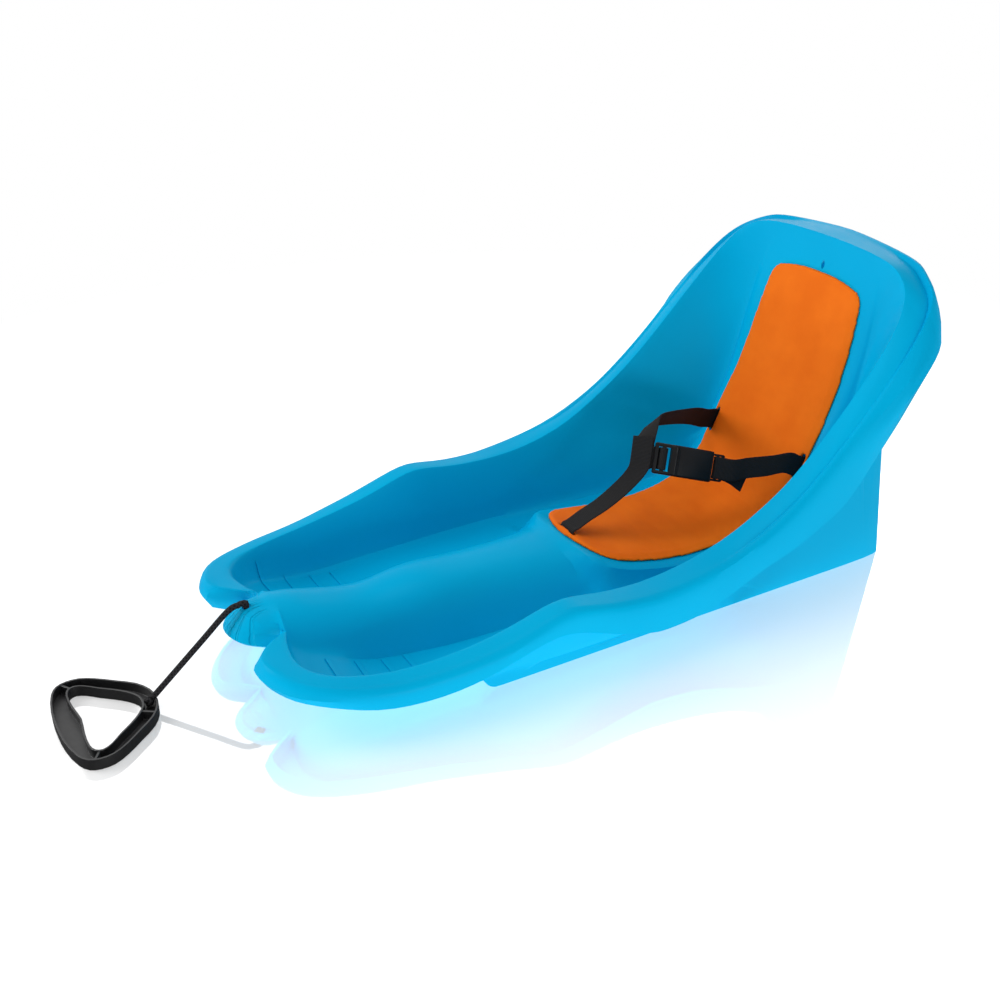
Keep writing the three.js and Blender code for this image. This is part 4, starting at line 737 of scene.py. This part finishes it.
def make_rope(material):
    """The rope, its two knots, and the neck: a straight stem, then a quarter turn towards the rope."""
    radius = ROPE_DIAMETER / 2
    points = smooth_path(ROPE_ROUTE, ROPE_LENGTH / ROPE_STEPS)
    rope = dress(tube("rope", points, radius, ROPE_SIDES), material, "rope", "rope", "pull_rope")
    nose = knot("nose_stopper", NOSE_KNOT_AT, NOSE_KNOT_RADIUS)
    dress(nose, material, "sled", "rope", "nose_knot")
    grip = knot("grip_stopper", GRIP_KNOT_AT, GRIP_KNOT_RADIUS)
    dress(grip, material, "grip", "rope", "handle_knot")
    stem = np.linspace(NOSE_KNOT_AT, ROPE_HOLE_AT, NECK_STEM_STEPS)
    turn = np.radians(np.linspace(0, 90, NECK_BEND_STEPS))[1:, None]
    bend = np.hstack([0 * turn, -NECK_REACH * np.sin(turn), NECK_RISE * np.sin(2 * turn)])
    route = np.vstack([stem, np.array(ROPE_HOLE_AT) + bend])
    neck = paint(tube("rope_neck", route, radius, ROPE_SIDES), material)
    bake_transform(neck)


def make_belts(material):
    """The three belts; the left one bends from the shell to the plug, which carries its tail."""
    dress(webbing("crotch_belt", CROTCH_ROUTE), material, "sled", "webbing", "crotch_strap")
    dress(webbing("right_belt", RIGHT_ROUTE), material, "sled", "webbing", "lap_strap_right")
    belt = paint(webbing("left_belt", LEFT_ROUTE[:LEFT_TAIL_FROM + 1]), material)
    dress(webbing("left_belt_tail", LEFT_ROUTE[LEFT_TAIL_FROM:]), material, "plug", "webbing")
    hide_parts("lap_strap_left")
    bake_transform(belt)


def make_pad(material):
    """The foam pad: its solid remeshed finely and relaxed, so that its edges and slots round over."""
    pad = merged("seat_pad", "foam_pad", PAD_CREASE)
    remesh = pad.modifiers.new("skin", "REMESH")
    remesh.mode = "VOXEL"
    remesh.voxel_size = PAD_VOXEL
    relax = pad.modifiers.new("relax", "SMOOTH")
    relax.factor, relax.iterations = PAD_RELAX, PAD_PASSES
    bpy.context.view_layer.update()
    graph = bpy.context.evaluated_depsgraph_get()
    final = bpy.data.meshes.new_from_object(pad.evaluated_get(graph))
    pad.modifiers.clear()
    pad.data = final
    shade_smooth(final)
    dress(pad, material, "sled", "pad", "seat_pad")


def make_hard_pieces(shell, plastic, grip_plastic):
    """The shell, the buckle's pieces and the grip, made from their solids; the plates are only painted."""
    hull = subdivided(merged("sled_shell", "moulded_hull", SHELL_CREASE), SHELL_CREASE, SHELL_LEVELS)
    dress(hull, shell, "sled", "shell", "sled_shell")
    for node, body in BUCKLE_BODIES.items():
        piece = bevelled(merged(node, node + "_moulding", BUCKLE_CREASE), BUCKLE_BEVEL)
        dress(piece, plastic, body, "buckle_plastic", node)
    grip = bevelled(merged("pull_handle", "grip_moulding", GRIP_CREASE), GRIP_BEVEL)
    dress(grip, grip_plastic, "grip", "handle_plastic", "pull_handle")
    for side in ("crotch", "right", "left"):
        paint(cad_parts["anchor_" + side], plastic)


def make_floor():
    """A white floor with the object's shadow and, near it, its mirror image; far off it is white."""
    half = FLOOR_HALF
    mesh = bpy.data.meshes.new("floor")
    corner_places = [(-half, -half, 0), (half, -half, 0), (half, half, 0), (-half, half, 0)]
    mesh.from_pydata(corner_places, [], [(0, 1, 2, 3)])
    floor = placed("floor", mesh)
    floor.location.z = -FLOOR_DROP
    finish = Finish("floor")
    finish.tree.nodes.remove(finish.shader)
    matt = finish.node("ShaderNodeBsdfDiffuse", Color=FLOOR_GREY).outputs[0]
    gloss = finish.node("ShaderNodeBsdfGlossy", Color=WHITE, Roughness=MIRROR_ROUGHNESS).outputs[0]
    glow = finish.node("ShaderNodeEmission", Strength=FLOOR_GLOW).outputs[0]
    white = finish.node("ShaderNodeEmission", Strength=1.0).outputs[0]
    bounce = finish.node("ShaderNodeEmission", Strength=FLOOR_BOUNCE).outputs[0]
    path = finish.node("ShaderNodeLightPath")
    lit = finish.node("ShaderNodeAddShader")
    finish.join(matt, lit.inputs[0])
    finish.join(glow, lit.inputs[1])
    near = finish.vector("ADD", finish.place(), FOOT_BACK)
    near = finish.vector("SUBTRACT", finish.vector("ABSOLUTE", near), FOOT_HALF)
    near = finish.vector("LENGTH", finish.vector("MAXIMUM", near, (0, 0, 0)))
    mirror = finish.mixed(finish.remap(near, 0, MIRROR_FADE, FLOOR_MIRROR, 0), lit.outputs[0], gloss)
    away = finish.vector("LENGTH", finish.place())
    faded = finish.mixed(finish.remap(away, WHITE_FROM, WHITE_FULL), mirror, white)
    dull = finish.node("ShaderNodeBsdfDiffuse", Color=FLOOR_DULL).outputs[0]
    thrown = finish.mixed(path.outputs["Is Diffuse Ray"], dull, bounce)
    seen = finish.mixed(path.outputs["Is Camera Ray"], thrown, faded)
    finish.join(seen, finish.tree.nodes["Material Output"].inputs["Surface"])
    floor.data.materials.append(finish.material)
    floor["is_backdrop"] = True


def add_lamp(name, place, target, size, power):
    """A square soft box at place, facing target."""
    data = bpy.data.lights.new(name, "AREA")
    data.size, data.energy = size, power
    lamp = placed(name, data)
    lamp.location = place
    look_along(lamp, Vector(target) - Vector(place))


def make_light():
    """A dim even world, plain white to the camera and in mirrors, and the lamps."""
    world = bpy.data.worlds.new("studio")
    bpy.context.scene.world = world
    world.use_nodes = True
    tree = world.node_tree
    back = tree.nodes["Background"]
    back.inputs["Color"].default_value = WHITE
    back.inputs["Strength"].default_value = WORLD_LIGHT
    white = tree.nodes.new("ShaderNodeBackground")
    white.inputs["Color"].default_value = WHITE
    white.inputs["Strength"].default_value = 1.0
    path = tree.nodes.new("ShaderNodeLightPath")
    mix = tree.nodes.new("ShaderNodeMixShader")
    seen = tree.nodes.new("ShaderNodeMath")
    seen.operation = "MAXIMUM"
    tree.links.new(path.outputs["Is Camera Ray"], seen.inputs[0])
    tree.links.new(path.outputs["Is Glossy Ray"], seen.inputs[1])
    tree.links.new(seen.outputs[0], mix.inputs[0])
    tree.links.new(back.outputs[0], mix.inputs[1])
    tree.links.new(white.outputs[0], mix.inputs[2])
    tree.links.new(mix.outputs[0], tree.nodes["World Output"].inputs["Surface"])
    for name, place, target, size, power in LAMPS:
        add_lamp(name, place, target, size, power)
    bpy.context.scene.view_settings.view_transform = "Standard"


def corners():
    low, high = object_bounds()
    return [list(low), list(high)]


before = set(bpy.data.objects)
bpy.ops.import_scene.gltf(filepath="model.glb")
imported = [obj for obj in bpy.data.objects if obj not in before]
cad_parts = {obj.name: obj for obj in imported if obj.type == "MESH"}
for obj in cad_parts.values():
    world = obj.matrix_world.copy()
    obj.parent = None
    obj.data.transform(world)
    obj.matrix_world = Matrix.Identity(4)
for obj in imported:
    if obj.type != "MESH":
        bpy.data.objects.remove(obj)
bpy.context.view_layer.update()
make_camera()
make_rope(braided())
make_belts(woven())
make_pad(foam())
make_hard_pieces(
    moulded_shell(),
    black_plastic("buckle_moulding", grain=1100.0, roughness=0.38, gloss=0.15),
    black_plastic("grip_moulding", grain=700.0, roughness=0.42, gloss=0.8),
)
make_floor()
make_light()
